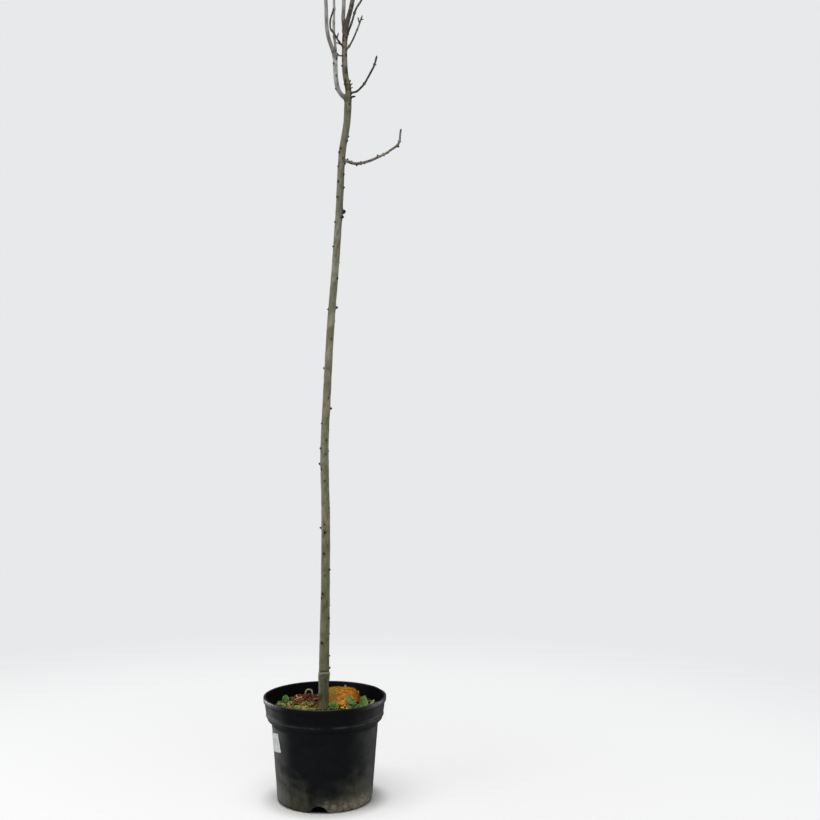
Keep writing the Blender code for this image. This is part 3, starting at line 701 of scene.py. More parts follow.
def sheet_shares(rows, columns, lowest=0.0):
    """Shares of a sheet's height, up to 1, and of its half width, from -1 to 1."""
    return np.meshgrid(np.linspace(lowest, 1.0, rows), np.linspace(-1.0, 1.0, columns), indexing="ij")


def ring_turns(columns):
    """Equal turns round a ring."""
    return np.arange(columns) * 2.0 * np.pi / columns


def clamped(values):
    """Values with what is under 0 or over 1 cut off."""
    return np.clip(values, 0.0, 1.0)


def bell(values):
    """exp(-x^2), a hump that is 1 in its middle and fades over a width of about 1."""
    return np.exp(-(values**2))


def lattice_noise(along, around, cell, cells_round, seed):
    """Smooth noise from -1 to 1 that closes round a limb.

    Random values stand on a lattice, and a place blends its four corners with a smooth step.
    """
    rng = np.random.default_rng(seed)
    rows = int(along.max() / cell) + 2
    lattice = rng.uniform(-1.0, 1.0, (rows, cells_round))
    up = along / cell
    turn = (around / (2.0 * np.pi) * cells_round) % cells_round
    row, column = np.floor(up).astype(int), np.floor(turn).astype(int) % cells_round
    rise, side = up - row, turn - np.floor(turn)
    rise, side = rise**2 * (3.0 - 2.0 * rise), side**2 * (3.0 - 2.0 * side)
    above, after = np.minimum(row + 1, rows - 1), (column + 1) % cells_round
    low = lattice[row, column] * (1.0 - side) + lattice[row, after] * side
    high = lattice[above, column] * (1.0 - side) + lattice[above, after] * side
    return low * (1.0 - rise) + high * rise


def wrapped(turn):
    """An angle brought between minus and plus half a turn."""
    return (turn + np.pi) % (2.0 * np.pi) - np.pi


def unit(vectors):
    """Vectors of length one."""
    return vectors / np.linalg.norm(vectors, axis=-1, keepdims=True)


def length_along(path):
    """The distance from a path's first point to each of its points."""
    return np.concatenate(([0.0], np.cumsum(np.linalg.norm(np.diff(path, axis=0), axis=1))))


def cross_frame(path):
    """At each point of a path its heading, a level side direction and the direction behind."""
    heading = unit(np.gradient(path, axis=0))
    side = unit(np.cross((0.0, 1.0, 0.0), heading))
    return heading, side, np.cross(heading, side)


def refined(limb, spacing):
    """The limb with points a spacing apart on the smooth curve through its own."""
    path = smooth_route(limb.path, spacing)
    at = length_along(path)
    own = length_along(limb.path)
    return Limb(path, np.interp(at / at[-1], own / own[-1], limb.radii))


def fillet(limb, places, neighbours):
    """How far the places on a limb swell towards its neighbours, so that they meet in a fillet.

    At a distance d from the neighbour's surface the swelling is w/4 * (1 - d/w)^2, where w is
    the fillet's width. It is the smooth union of the two. The closeness is (1 - d/w)^2.
    """
    swelling, closeness = np.zeros(places.shape[:2]), np.zeros(places.shape[:2])
    for other in neighbours:
        width = FILLET_SHARE * min(limb.radii.max(), other.radii.max())
        near = distances(limb.path, other.path).min(axis=1) < FILLET_SEARCH
        spots = places[near].reshape(-1, 3)
        if len(spots):
            apart = (distances(spots, other.path) - other.radii[None, :]).min(axis=1)
            close = (clamped(1.0 - apart / width) ** 2).reshape(-1, places.shape[1])
            closeness[near] = np.maximum(closeness[near], close)
            swelling[near] = np.maximum(swelling[near], width / 4.0 * close)
    return swelling, closeness


def tube(limb, columns, relief, neighbours=(), foot_rounding=0.0, round_tip=False, two_tones=False):
    """A closed tube round a limb.

    A place = path + (radius + relief + swelling) * (side * cos a + back * sin a). Relief is a
    function of the distance along, the angle a and the radius that gives the added radius and
    marks. A foot or tip that hides in another limb is rounded off like an ellipse.
    """
    heading, side, back = cross_frame(limb.path)
    rows = len(limb.path)
    angle = np.tile(ring_turns(columns), (rows, 1))
    along = np.tile(length_along(limb.path)[:, None], (1, columns))
    radius = np.tile(limb.radii[:, None], (1, columns))
    added, marks = relief(along, angle, radius)
    past_foot = clamped((along / limb.radii[0] - TONE_START) / TONE_RUN)
    marks["own_tone"] = past_foot if two_tones else np.ones_like(along)
    reach = radius + added
    cos, sin = np.cos(angle), np.sin(angle)
    outward = side[:, None, :] * cos[..., None] + back[:, None, :] * sin[..., None]
    places = limb.path[:, None, :] + reach[..., None] * outward
    swelling, closeness = fillet(limb, places, neighbours)
    reach = reach + swelling
    # Painted shade in the angle of each fork, darkest where the limbs meet
    marks["dark"] = np.maximum(marks["dark"], FORK_PAINTED_SHADE * closeness**0.45)
    if foot_rounding:
        past = clamped(0.02 + along / (foot_rounding * limb.radii[0]))
        reach = reach * np.sqrt(1.0 - (1.0 - past) ** 2)
    if round_tip:
        left = clamped(0.02 + (along[-1] - along) / (TIP_ROUNDING * limb.radii[-1]))
        reach = reach * np.sqrt(1.0 - (1.0 - left) ** 2)
    places = limb.path[:, None, :] + reach[..., None] * outward
    straight = np.stack((radius * cos, radius * sin, along), axis=-1)
    ends = limb.path[[0, -1]]
    straight_ends = np.array(((0.0, 0.0, 0.0), (0.0, 0.0, along[-1, 0])))
    placed = {"bark_place": np.concatenate((straight.reshape(-1, 3), straight_ends))}
    for mark, values in marks.items():
        placed[mark] = np.concatenate((values.ravel(), values[[0, -1], 0]))
    all_places = np.concatenate((places.reshape(-1, 3), ends))
    return Shape(all_places, tube_faces(rows, columns), placed)


def blobs(places, axes, sizes, rows, columns, square=1.0, taper=0.0, dents=0.0, seed=0):
    """Closed blobs, each with its own length, width and thickness.

    A place = middle - length/2 * axis * cos(pi v) + ring * (width/2 * side * c + thickness/2 *
    up * s). The ring is sin(pi v) to the power square, narrowed by the taper towards the tip,
    and c and s are the cosine and sine raised to the power square with their signs kept.
    """
    rng = np.random.default_rng(seed)
    count = len(places)
    axes = unit(axes)
    lean = np.abs(axes[:, 2:3]) > 0.9
    side = unit(np.cross(axes, np.where(lean, (0.0, 1.0, 0.0), (0.0, 0.0, 1.0))))
    up = np.cross(side, axes)
    share = (np.arange(rows) + 1.0) / (rows + 1.0)
    angle = ring_turns(columns)
    ring = (np.sin(np.pi * share) ** square * (1.0 - taper * share))[None, :, None]
    cos = (np.sign(np.cos(angle)) * np.abs(np.cos(angle)) ** square)[None, None, :]
    sin = (np.sign(np.sin(angle)) * np.abs(np.sin(angle)) ** square)[None, None, :]
    ring = ring * (1.0 + dents * rng.uniform(-1.0, 1.0, (count, rows, columns)))
    length, width, thickness = (sizes[:, index, None, None, None] / 2.0 for index in range(3))
    body = (
        places[:, None, None, :]
        - length * axes[:, None, None, :] * np.cos(np.pi * share)[None, :, None, None]
        + (ring * cos)[..., None] * width * side[:, None, None, :]
        + (ring * sin)[..., None] * thickness * up[:, None, None, :]
    )
    ends = np.stack((places - axes * sizes[:, :1] / 2.0, places + axes * sizes[:, :1] / 2.0), axis=1)
    return copied(np.concatenate((body.reshape(count, -1, 3), ends), axis=1), rows, columns)


def blobs_in_rows(rows, look):
    """Blobs from rows that start with a place, an axis and a size."""
    places, axes, sizes = (np.array(column) for column in list(zip(*rows))[:3])
    return blobs(places, axes, sizes, **look)


def smooth_route(route, spacing):
    """Points on a smooth curve through a route, about one spacing apart.

    Each span is a cubic whose slope at a point blends the chords on either side, the
    shorter chord counting more.
    """
    points = np.array(route)
    steps = np.diff(points, axis=0)
    chords = np.linalg.norm(steps, axis=1)
    knots = np.concatenate(([0.0], np.cumsum(chords)))
    slopes = steps / chords[:, None]
    before, after = chords[:-1, None], chords[1:, None]
    blended = (slopes[:-1] * after + slopes[1:] * before) / (before + after)
    tangents = np.vstack((slopes[:1], blended, slopes[-1:]))
    at = np.linspace(0.0, knots[-1], max(2, round(knots[-1] / spacing)) + 1)
    span = np.clip(np.searchsorted(knots, at, side="right") - 1, 0, len(chords) - 1)
    share = ((at - knots[span]) / chords[span])[:, None]
    reach = chords[span][:, None]
    rest = 1.0 - share
    return (
        points[span] * (1.0 + 2.0 * share) * rest**2
        + points[span + 1] * share**2 * (3.0 - 2.0 * share)
        + tangents[span] * reach * share * rest**2
        - tangents[span + 1] * reach * share**2 * rest
    )


def tapered(path, foot_diameter, tip_diameter):
    """A limb whose thickness falls evenly from its foot to its tip."""
    return Limb(path, np.linspace(foot_diameter, tip_diameter, len(path)) / 2.0)


def trunk_thickness(line):
    """The trunk's radii: its taper and its swellings."""
    height = line[:, 2]
    heights, diameters = zip(*TRUNK_DIAMETERS)
    diameter = np.interp(height, heights, diameters)
    for middle, spread, added in TRUNK_SWELLINGS:
        diameter = diameter + added * np.exp(-0.5 * ((height - middle) / spread) ** 2)
    return diameter / 2.0


def distances(path, other):
    """The distance from each point of a path to each point of another."""
    return np.linalg.norm(path[:, None, :] - other[None, :, :], axis=2)


def keeps_clear(twig, limbs):
    """Whether a twig stays its clearance away from every limb given."""
    for limb in limbs:
        apart = distances(twig.path, limb.path) - twig.radii[:, None] - limb.radii[None, :]
        if apart.min() < TWIG_CLEARANCE:
            return False
    return True


def in_own_space(twig, stem, others):
    """Whether every point of a twig lies nearer to its own stem than to any other limb."""
    own = distances(twig.path, stem.path).min(axis=1)
    return all((distances(twig.path, other.path).min(axis=1) > own).all() for other in others)


def twig_route(foot, heading, turn, length, steps, rng):
    """A twig that leaves its stem sideways and bends up step by step towards the light."""
    level = unit(np.cross(heading, (0.0, 1.0, 0.0)))
    across = np.cross(heading, level)
    sideways = level * math.cos(turn) + across * math.sin(turn)
    direction = heading * math.cos(LEAVING_ANGLE) + sideways * math.sin(LEAVING_ANGLE)
    points = [foot]
    for _ in range(steps):
        sway = np.array([rng.uniform(-WOBBLE, WOBBLE) for _ in range(3)])
        direction = unit(direction + sway + np.array((0.0, 0.0, UPTURN)))
        points.append(points[-1] + direction * (length / steps))
    return np.array(points)


def sprout(parent, share, turn, length, rng):
    """One side twig at a share of its parent's length."""
    place = share * (len(parent.path) - 1)
    index = min(int(place), len(parent.path) - 2)
    part = place - index
    foot = parent.path[index] * (1.0 - part) + parent.path[index + 1] * part
    heading = unit(parent.path[index + 1] - parent.path[index])
    steps = max(2, round(length / TWIG_SPACING))
    path = twig_route(foot, heading, turn, length, steps, rng)
    thickness = 2.0 * parent.radii[index] * DIAMETER_SHARE
    return tapered(path, max(thickness, TWIG_TIP_DIAMETER), TWIG_TIP_DIAMETER)


def side_twig(parent, share, turn, length, rng, stem, others, grown):
    """The longest of the tried lengths that stays in the mass's space and clear of all limbs."""
    for tried in TRIED_LENGTHS:
        if length * tried < SHORTEST_TWIG:
            return None
        twig = sprout(parent, share, turn, length * tried, rng)
        beyond = Limb(twig.path[1:], twig.radii[1:])
        near = [limb for limb in grown if limb is not parent]
        if in_own_space(beyond, stem, others) and keeps_clear(beyond, others + near):
            return twig
    return None


def grow_mass(mass, stem, others):
    """The stem and its opposite pairs of twigs, each pair a quarter turn from the last.

    Lower twigs are longer. Long twigs carry short spurs by the same rule.
    """
    rng = random.Random(mass.seed)
    grown = [stem]
    for pair in range(mass.pairs):
        along = pair / max(1, mass.pairs - 1)
        share = mass.first_pair + (LAST_PAIR - mass.first_pair) * along
        turn = mass.turn + pair * math.pi / 2 + rng.uniform(-TURN_SPREAD, TURN_SPREAD)
        for half in (0.0, math.pi):
            length = mass.longest * (1.0 - SHORTENING * along) * rng.uniform(*LENGTH_SPREAD)
            twig = side_twig(stem, share, turn + half, length, rng, stem, others, grown)
            if twig is None:
                continue
            grown.append(twig)
            grow_spurs(twig, turn, rng, stem, others, grown)
    return grown


def grow_spurs(twig, turn, rng, stem, others, grown):
    """Pairs of short spurs along the outer part of a long twig."""
    length = length_along(twig.path)[-1]
    pairs = int(length / SPUR_SPACING)
    for pair in range(pairs):
        share = SPUR_FROM + (LAST_PAIR - SPUR_FROM) * (pair + 0.5) / pairs
        for half in (0.0, math.pi):
            reach = length * SPUR_LENGTH * rng.uniform(*LENGTH_SPREAD) * (SPUR_END - share)
            around = turn + pair * math.pi / 2 + half
            spur = side_twig(twig, share, around, reach, rng, stem, others, grown)
            if spur is not None:
                grown.append(spur)


def grow_fine_shoots(mass, grown, others, spacing):
    """Thin shoots in opposite pairs along the grown twigs, inside the mass's own box."""
    rng = random.Random(FINE_SEED + mass.seed)
    lowest, highest = (np.array(corner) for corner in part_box(mass.name))
    fine = []
    for parent in grown:
        length = length_along(parent.path)[-1]
        for pair in range(1, int(length / spacing)):
            share = pair * spacing / length
            turn = rng.uniform(0.0, math.pi)
            for half in (0.0, math.pi):
                reach = rng.uniform(*FINE_LENGTHS)
                wanted = rng.random() < FINE_SHARE
                shoot = sprout(parent, share, turn + half, reach, rng)
                shoot = tapered(shoot.path, FINE_TIP_DIAMETER * FINE_FOOT_SHARE, FINE_TIP_DIAMETER)
                beyond = Limb(shoot.path[1:], shoot.radii[1:])
                near = [limb for limb in grown + fine if limb is not parent]
                inside = (beyond.path > lowest).all() and (beyond.path < highest).all()
                high = shoot.path[0][2] > FINE_FROM_HEIGHT
                if wanted and high and inside and keeps_clear(beyond, others + near):
                    fine.append(shoot)
    return fine


@functools.cache
def grown_tree(fine_spacing):
    """Every limb by name, and each mass's twigs and finer shoots."""
    limbs = {"trunk": smooth_limbs()["trunk"]}
    for each in (*BOUGHS, *MASSES):
        path = smooth_route(each.route, LIMB_SPACING)
        limbs[each.name] = tapered(path, each.foot_diameter, each.tip_diameter)
    twigs, masses = [], {}
    for mass in MASSES:
        others = [limb for name, limb in limbs.items() if name != mass.name and name not in mass.meets]
        masses[mass.name] = grow_mass(mass, limbs[mass.name], others + twigs)
        twigs += masses[mass.name][1:]
    fine = {}
    for mass in MASSES:
        own = masses[mass.name]
        mine = [id(limb) for limb in own]
        others = [limb for name, limb in limbs.items() if name != mass.name]
        others += [limb for limb in twigs if id(limb) not in mine]
        others += [limb for made in fine.values() for limb in made]
        fine[mass.name] = grow_fine_shoots(mass, own, others, fine_spacing)
    return limbs, masses, fine


def filleted(corners, radii, longest):
    """A profile through corners, each rounded by a parabola as wide as its radius.

    Straight runs between the roundings are divided so that no step is longer than asked.
    """
    corners = np.array(corners)
    share = np.linspace(0.0, 1.0, FILLET_POINTS)[:, None]
    bends = [corners[:1]]
    for index in range(1, len(corners) - 1):
        corner, radius = corners[index], radii[index]
        start = corner + unit(corners[index - 1] - corner) * radius
        end = corner + unit(corners[index + 1] - corner) * radius
        bends.append(start * (1 - share) ** 2 + 2 * corner * share * (1 - share) + end * share**2)
    bends.append(corners[-1:])
    profile = [bends[0]]
    for before, after in zip(bends, bends[1:]):
        run = np.linalg.norm(after[0] - before[-1])
        steps = np.linspace(0.0, 1.0, max(1, math.ceil(run / longest)) + 1)[1:-1, None]
        profile.append(before[-1] * (1 - steps) + after[0] * steps)
        profile.append(after)
    return np.concatenate(profile)


def pot_inner_corners(shrink=0.0):
    """The pot's inner corners as radius and height, from its floor up to its rim."""
    thickness = POT_THICKNESS + shrink
    return [
        (WALL_FOOT_RADIUS - thickness, POT_FLOOR + shrink),
        (WALL_MIDDLE_RADIUS - thickness, WALL_MIDDLE),
        (WALL_TOP_RADIUS - thickness, WALL_TOP),
        (COLLAR_FOOT_RADIUS - thickness, COLLAR_FOOT),
        (COLLAR_TOP_RADIUS - thickness, POT_HEIGHT),
    ]


def wall_sway(angle, height, pot):
    """How far the soft wall stands out of round: an oval, shallow dents and a pinch in the rim."""
    up = clamped(height / POT_HEIGHT)
    oval = pot.out_of_round * np.cos(2.0 * (angle - OVAL_TURN)) * (up**2 - 0.45)
    dents = pot.dent_depth * lattice_noise(height, angle, *DENT_CELLS, DENT_SEED) * np.sin(np.pi * up)
    pinch_turn = wrapped(angle - PINCH_TURN) / PINCH_WIDTH
    pinch = pot.rim_pinch * bell(pinch_turn) * clamped((up - PINCH_FROM) / 0.14)
    return oval + dents - pinch


def turned_shape(profile, columns, sway):
    """A closed turned shape: a profile carried round the upright axis, swayed by a function."""
    angle = ring_turns(columns)
    inner = profile[1:-1]
    angles, heights = np.meshgrid(angle, inner[:, 1])
    radii = inner[:, 0][:, None] + sway(angles, heights, np.arange(len(inner))[:, None])
    places = np.stack((radii * np.cos(angles), radii * np.sin(angles), heights), axis=-1)
    ends = np.array([(0.0, 0.0, profile[0, 1]), (0.0, 0.0, profile[-1, 1])])
    return Shape(np.concatenate((places.reshape(-1, 3), ends)), tube_faces(len(inner), columns), {})


def pot_shape(pot):
    """The pot as one thin turned shell with rounded edges and a wavy bead under its collar."""
    lip_foot = POT_HEIGHT - LIP_DEPTH
    outer = [
        (WALL_FOOT_RADIUS, 0.0),
        (WALL_MIDDLE_RADIUS, WALL_MIDDLE),
        (WALL_TOP_RADIUS, WALL_TOP),
        (COLLAR_FOOT_RADIUS, COLLAR_FOOT),
        (COLLAR_TOP_RADIUS + 0.0006, lip_foot - 0.0008),
        (LIP_RADIUS - 0.0003, lip_foot),
        (LIP_RADIUS, POT_HEIGHT),
    ]
    corners = [(0.0, 0.0), *outer, *pot_inner_corners()[::-1], (0.0, POT_FLOOR)]
    profile = filleted(corners, (0.0, *OUTER_ROUNDING, *INNER_ROUNDING, 0.0), POT_ROW)
    outside = np.arange(len(profile) - 2)[:, None] < np.argmax(profile[1:-1, 1])

    def sway(angle, height, row):
        wave = BEAD_HEIGHT + pot.bead_wave * (np.sin(3.0 * angle + 0.6) + 0.6 * np.sin(7.0 * angle))
        bead = pot.bead_rise * bell((height - wave) / BEAD_WIDTH)
        groove = GROOVE_SHARE * pot.bead_rise * bell((height - wave + GROOVE_UNDER_BEAD) / BEAD_WIDTH)
        return wall_sway(angle, height, pot) + np.where(outside[row[:, 0]], bead - groove, 0.0)

    return turned_shape(profile, POT_COLUMNS, sway)


def cut_notches(piece):
    """Cuts the arched drain notches: cylinders lying outwards, half sunk in the floor."""
    depth = NOTCH_OUTER_RADIUS - NOTCH_INNER_RADIUS
    middle = (NOTCH_INNER_RADIUS + NOTCH_OUTER_RADIUS) / 2.0
    cutters = []
    for index in range(NOTCH_COUNT):
        turn = NOTCH_TURN + 2.0 * math.pi * index / NOTCH_COUNT
        bpy.ops.mesh.primitive_cylinder_add(vertices=48, radius=0.5, depth=1.0)
        cutter = bpy.context.object
        cutter.scale = (NOTCH_HEIGHT * 2.0, NOTCH_WIDTH, depth)
        cutter.rotation_euler = (0.0, math.pi / 2, turn)
        cutter.location = (middle * math.cos(turn), middle * math.sin(turn), 0.0)
        boolean = piece.modifiers.new("notch", "BOOLEAN")
        boolean.operation = "DIFFERENCE"
        boolean.object = cutter
        cutters.append(cutter)
    bpy.context.view_layer.update()
    depsgraph = bpy.context.evaluated_depsgraph_get()
    mesh = bpy.data.meshes.new_from_object(piece.evaluated_get(depsgraph))
    piece.modifiers.clear()
    piece.data = mesh
    mesh.set_sharp_from_angle(angle=SHARP_ANGLE)
    for cutter in cutters:
        bpy.data.objects.remove(cutter, do_unlink=True)


def soil_height(x, y):
    """The soil's level: its top, low lumps, a rise under two heaps and one at the trunk."""
    distance = np.hypot(x, y)
    lumps = 0.0013 * np.sin(x * 95.0 + 1.0) * np.cos(y * 80.0) + 0.0008 * np.sin(x * 210.0 - y * 170.0)
    heaps = 0.0
    for (middle, spread), share, top in SOIL_HEAPS:
        off_x, off_y = (x - middle[0]) / spread[0] / share, (y - middle[1]) / spread[1] / share
        heaps = heaps + top * np.exp(-(off_x**2) - off_y**2)
    rise = TRUNK_RISE * bell(distance / TRUNK_RISE_RADIUS)
    edge = clamped((distance - 0.13) / 0.03)
    return SOIL_TOP - 0.0015 + lumps * (1.0 - edge) + heaps + rise


def soil_shape(pot):
    """The filling as one closed solid: the pot's inner wall, topped by the soil's own surface."""
    wall = [(0.0, POT_FLOOR + GAP)] + pot_inner_corners(GAP)[:-1]
    heights, radii = (COLLAR_FOOT, POT_HEIGHT), (COLLAR_FOOT_RADIUS, COLLAR_TOP_RADIUS)
    top_radius = float(np.interp(SOIL_TOP, heights, radii))
    wall += [(top_radius - POT_THICKNESS - GAP, SOIL_TOP - SOIL_EDGE_DROP), (0.0, SOIL_TOP)]
    profile = filleted(wall, SOIL_ROUNDING, SOIL_ROW)
    shape = turned_shape(profile, SOIL_COLUMNS, lambda angle, height, row: wall_sway(angle, height, pot))
    places = shape.places
    first_top = int(np.argmax(profile[1:-1, 1] > SOIL_TOP - 0.0021))
    top = np.zeros(len(places), dtype=bool)
    top[(first_top + FILLET_POINTS) * SOIL_COLUMNS : -2] = True
    top[-1] = True
    x, y = places[top, 0], places[top, 1]
    rough = np.random.default_rng(SOIL_SEED).normal(0.0, SOIL_GRAIN, top.sum())
    places[top, 2] = soil_height(x, y) + rough
    return shape


def scattered(rng, heaps):
    """Places on the soil inside the pot and clear of the trunk, each lot in a heap or all over."""
    found = []
    for heap, count in heaps:
        places = np.empty((0, 2))
        while len(places) < count:
            if heap is None:
                drawn = rng.uniform(-LITTER_REACH, LITTER_REACH, (count, 2))
            else:
                drawn = rng.normal(*heap, (count, 2))
            distance = np.hypot(*drawn.T)
            places = np.concatenate((places, drawn[(distance < LITTER_REACH) & (distance > TRUNK_KEEP_OUT)]))
        found.append(places[:count])
    return np.concatenate(found)


def litter_blobs(kind, heaps, order=0):
    """Chips, crumbs or grains laid on the soil, each sunk a little."""
    seed = kind.seed + order
    rng = np.random.default_rng(seed)
    ground = scattered(rng, heaps)
    count = len(ground)
    length = rng.uniform(*kind.lengths, count)
    width = length * rng.uniform(*kind.widths, count)
    thickness = length * rng.uniform(*kind.thicknesses, count)
    height = soil_height(*ground.T) + thickness * kind.lift
    height = height + rng.uniform(0.0, 1.0, count) ** 3 * HEAPING
    turn = rng.uniform(0.0, 2.0 * np.pi, count)
    axes = np.stack((np.cos(turn), np.sin(turn), rng.normal(0.0, kind.tilt, count)), axis=-1)
    places, sizes = np.column_stack((ground, height)), np.column_stack((length, width, thickness))
    return blobs(places, axes, sizes, kind.rings, kind.sides, kind.square, dents=kind.dents, seed=seed)


def strands(seed, heaps):
    """Thin bent straws on the soil: each a four-sided tube along a curve that arches a little."""
    rng = np.random.default_rng(seed)
    ground = scattered(rng, heaps)
    count = len(ground)
    share = np.linspace(-0.5, 0.5, STRAW_RINGS)[None, :]
    turn = rng.uniform(0.0, 2.0 * np.pi, (count, 1)) + rng.normal(0.0, STRAW_BEND, (count, 1)) * share
    length = rng.uniform(*STRAW_LENGTHS, (count, 1))
    x = ground[:, :1] + np.cos(turn) * share * length
    y = ground[:, 1:] + np.sin(turn) * share * length
    lift = rng.uniform(*STRAW_LIFTS, (count, 1))
    slope = rng.normal(0.0, STRAW_SLOPE, (count, 1)) * share * length
    z = soil_height(x, y) + lift * (1.0 - 2.0 * np.abs(share)) + np.abs(slope) + STRAW_THICKNESS
    paths = np.stack((x, y, z), axis=-1)
    heading = unit(np.gradient(paths, axis=1))
    side = unit(np.cross(heading, (0.0, 0.0, 1.0)))
    above = np.cross(side, heading)
    angle = ring_turns(STRAW_SIDES)[:, None]
    radius = STRAW_THICKNESS / 2.0 * (1.15 - np.abs(share) * 1.2)[..., None, None]
    ring = side[:, :, None, :] * np.cos(angle) + above[:, :, None, :] * np.sin(angle)
    rings = (paths[:, :, None, :] + radius * ring).reshape(count, -1, 3)
    return copied(np.concatenate((rings, paths[:, [0, -1]]), axis=1), STRAW_RINGS, STRAW_SIDES)


def weed_leaf(weed):
    """A small leaf: a spoon-shaped blade on a bending rib, folded up a little along it.

    A place = foot + rib(v) + side * u * width/2 * outline(v) + up * fold * |u|. The outline is
    a narrow stalk that widens to the blade and closes in a round tip.
    """
    along, across = sheet_shares(*WEED_GRID)
    heading = unit(np.array(weed.heading))
    side = unit(np.cross(heading, (0.0, -1.0, 0.35)))
    face = np.cross(side, heading)
    bend = weed.bend
    forward = weed.length * np.sin(bend * along) / bend
    drop = weed.length * (1.0 - np.cos(bend * along)) / bend
    blade = clamped((along - 0.22) / 0.78)
    outline = 0.09 + 0.91 * np.sqrt(clamped(1.0 - (2.0 * blade - 1.0) ** 2)) * (blade > 0.0)
    outline = outline * np.sqrt(clamped(1.0 - along**10))
    half = weed.width / 2.0 * outline
    lift = 0.30 * half * np.abs(across) ** 1.5 + 0.04 * half * np.sin(along * 22.0)
    foot = np.array((*weed.foot, float(soil_height(*weed.foot)) - 0.001))
    ripple = 0.10 * half * np.sin(along * 17.0 + across * 4.0)
    places = (
        foot
        + heading * forward[..., None]
        + face * (lift + ripple - drop)[..., None]
        + side * (across * half)[..., None]
    )
    uv = np.stack(((across + 1.0) / 2.0, along), axis=-1).reshape(-1, 2)
    return sheet(places), uv


def rosette_leaves():
    """The leaves of the low rosettes, which lean outwards all round."""
    rng = random.Random(ROSETTE_SEED)
    found = []
    for middle, count, length, tone in ROSETTES:
        for index in range(count):
            turn = 2.0 * math.pi * (index + rng.uniform(-0.35, 0.35)) / count
            out = (math.cos(turn), math.sin(turn))
            foot = tuple(place + 0.12 * length * part for place, part in zip(middle, out))
            reach = length * rng.uniform(0.75, 1.25)
            heading = (*out, rng.uniform(0.35, 1.1))
            found.append(Weed(foot, heading, reach, ROSETTE_WIDTH_SHARE * reach, rng.uniform(0.6, 1.2), tone))
    return found


def fallen_leaf(leaf):
    """A broad toothed leaf that stands cupped on its edge over the soil.

    The blade's outline is a rounded heart with teeth. A place = middle + (across, back, rise):
    the blade climbs steeply from its front foot, arches over and falls to both sides, and its
    veins are drawn as shallow furrows that leave the rib at a slant.
    """
    along, across = sheet_shares(*LEAF_GRID)
    teeth = 1.0 + LEAF_TOOTH * np.abs(np.sin(along * 31.0))
    outline = np.sqrt(clamped(1.0 - np.abs(2.0 * along - 1.0) ** 2.8)) * teeth
    outline = np.maximum(outline, 0.02)
    x = across * outline * leaf.leaf_width / 2.0
    cup = np.abs(x) / (leaf.leaf_width / 2.0)
    fall = np.where(across > 0.0, 0.90 * cup**3.2, 0.40 * cup**6)
    y = leaf.leaf_depth * (along**1.15) + 0.010 * cup**2
    rise = leaf.leaf_rise * np.sin(np.pi * (0.02 + 0.66 * along)) * (1.0 - fall)
    rise = rise + 0.0012 * np.sin(across * 5.0 + along * 4.0) + 0.0022 * np.abs(across) ** 12
    slant = along - 0.42 * np.abs(across) * outline
    veins = bell((((slant * LEAF_VEINS) % 1.0) - 0.5) / 0.10)
    rib = bell(across * outline / 0.028)
    rise = rise - 0.0009 * veins - 0.0010 * rib
    x = LEAF_MIDDLE[0] + x + 0.010 * (along - 0.5)
    y = LEAF_MIDDLE[1] - leaf.leaf_depth / 2.0 + y
    z = SOIL_TOP + LEAF_FOOT_HEIGHT + rise
    marks = {"vein": np.maximum(veins * 0.8, rib).ravel()}
    uv = np.stack(((across * outline + 1.0) / 2.0, along), axis=-1).reshape(-1, 2)
    return sheet(np.stack((x, y, z), axis=-1), marks), uv


def add_thickness(piece, thickness):
    """Turns an open sheet into a thin closed blade."""
    solidify = piece.modifiers.new("thickness", "SOLIDIFY")
    solidify.thickness = thickness
    solidify.offset = 0.0


def label_shape(pot):
    """A rounded paper rectangle that follows the pot's wall, a hair's breadth proud of it."""
    up, round_ = sheet_shares(*LABEL_GRID, -1.0)
    height = LABEL_HEIGHT + up * pot.label_height / 2.0 + LABEL_TILT * round_
    radius = np.interp(height, (WALL_MIDDLE, WALL_TOP), (WALL_MIDDLE_RADIUS, WALL_TOP_RADIUS))
    shear = LABEL_TILT * pot.label_height / pot.label_width
    angle = LABEL_TURN + (round_ * pot.label_width / 2.0 - shear * up) / radius
    radius = radius + wall_sway(angle, height, pot) + LABEL_PROUD
    corner = clamped((np.abs(up) - 0.9) / 0.1) ** 2 * 0.02
    angle = LABEL_TURN + (angle - LABEL_TURN) * (1.0 - corner)
    radius = radius + LABEL_CREASE * bell((round_ - 0.8 + up * 0.1) / 0.05)
    places = np.stack((radius * np.cos(angle), radius * np.sin(angle), height), axis=-1)
    return sheet(places)


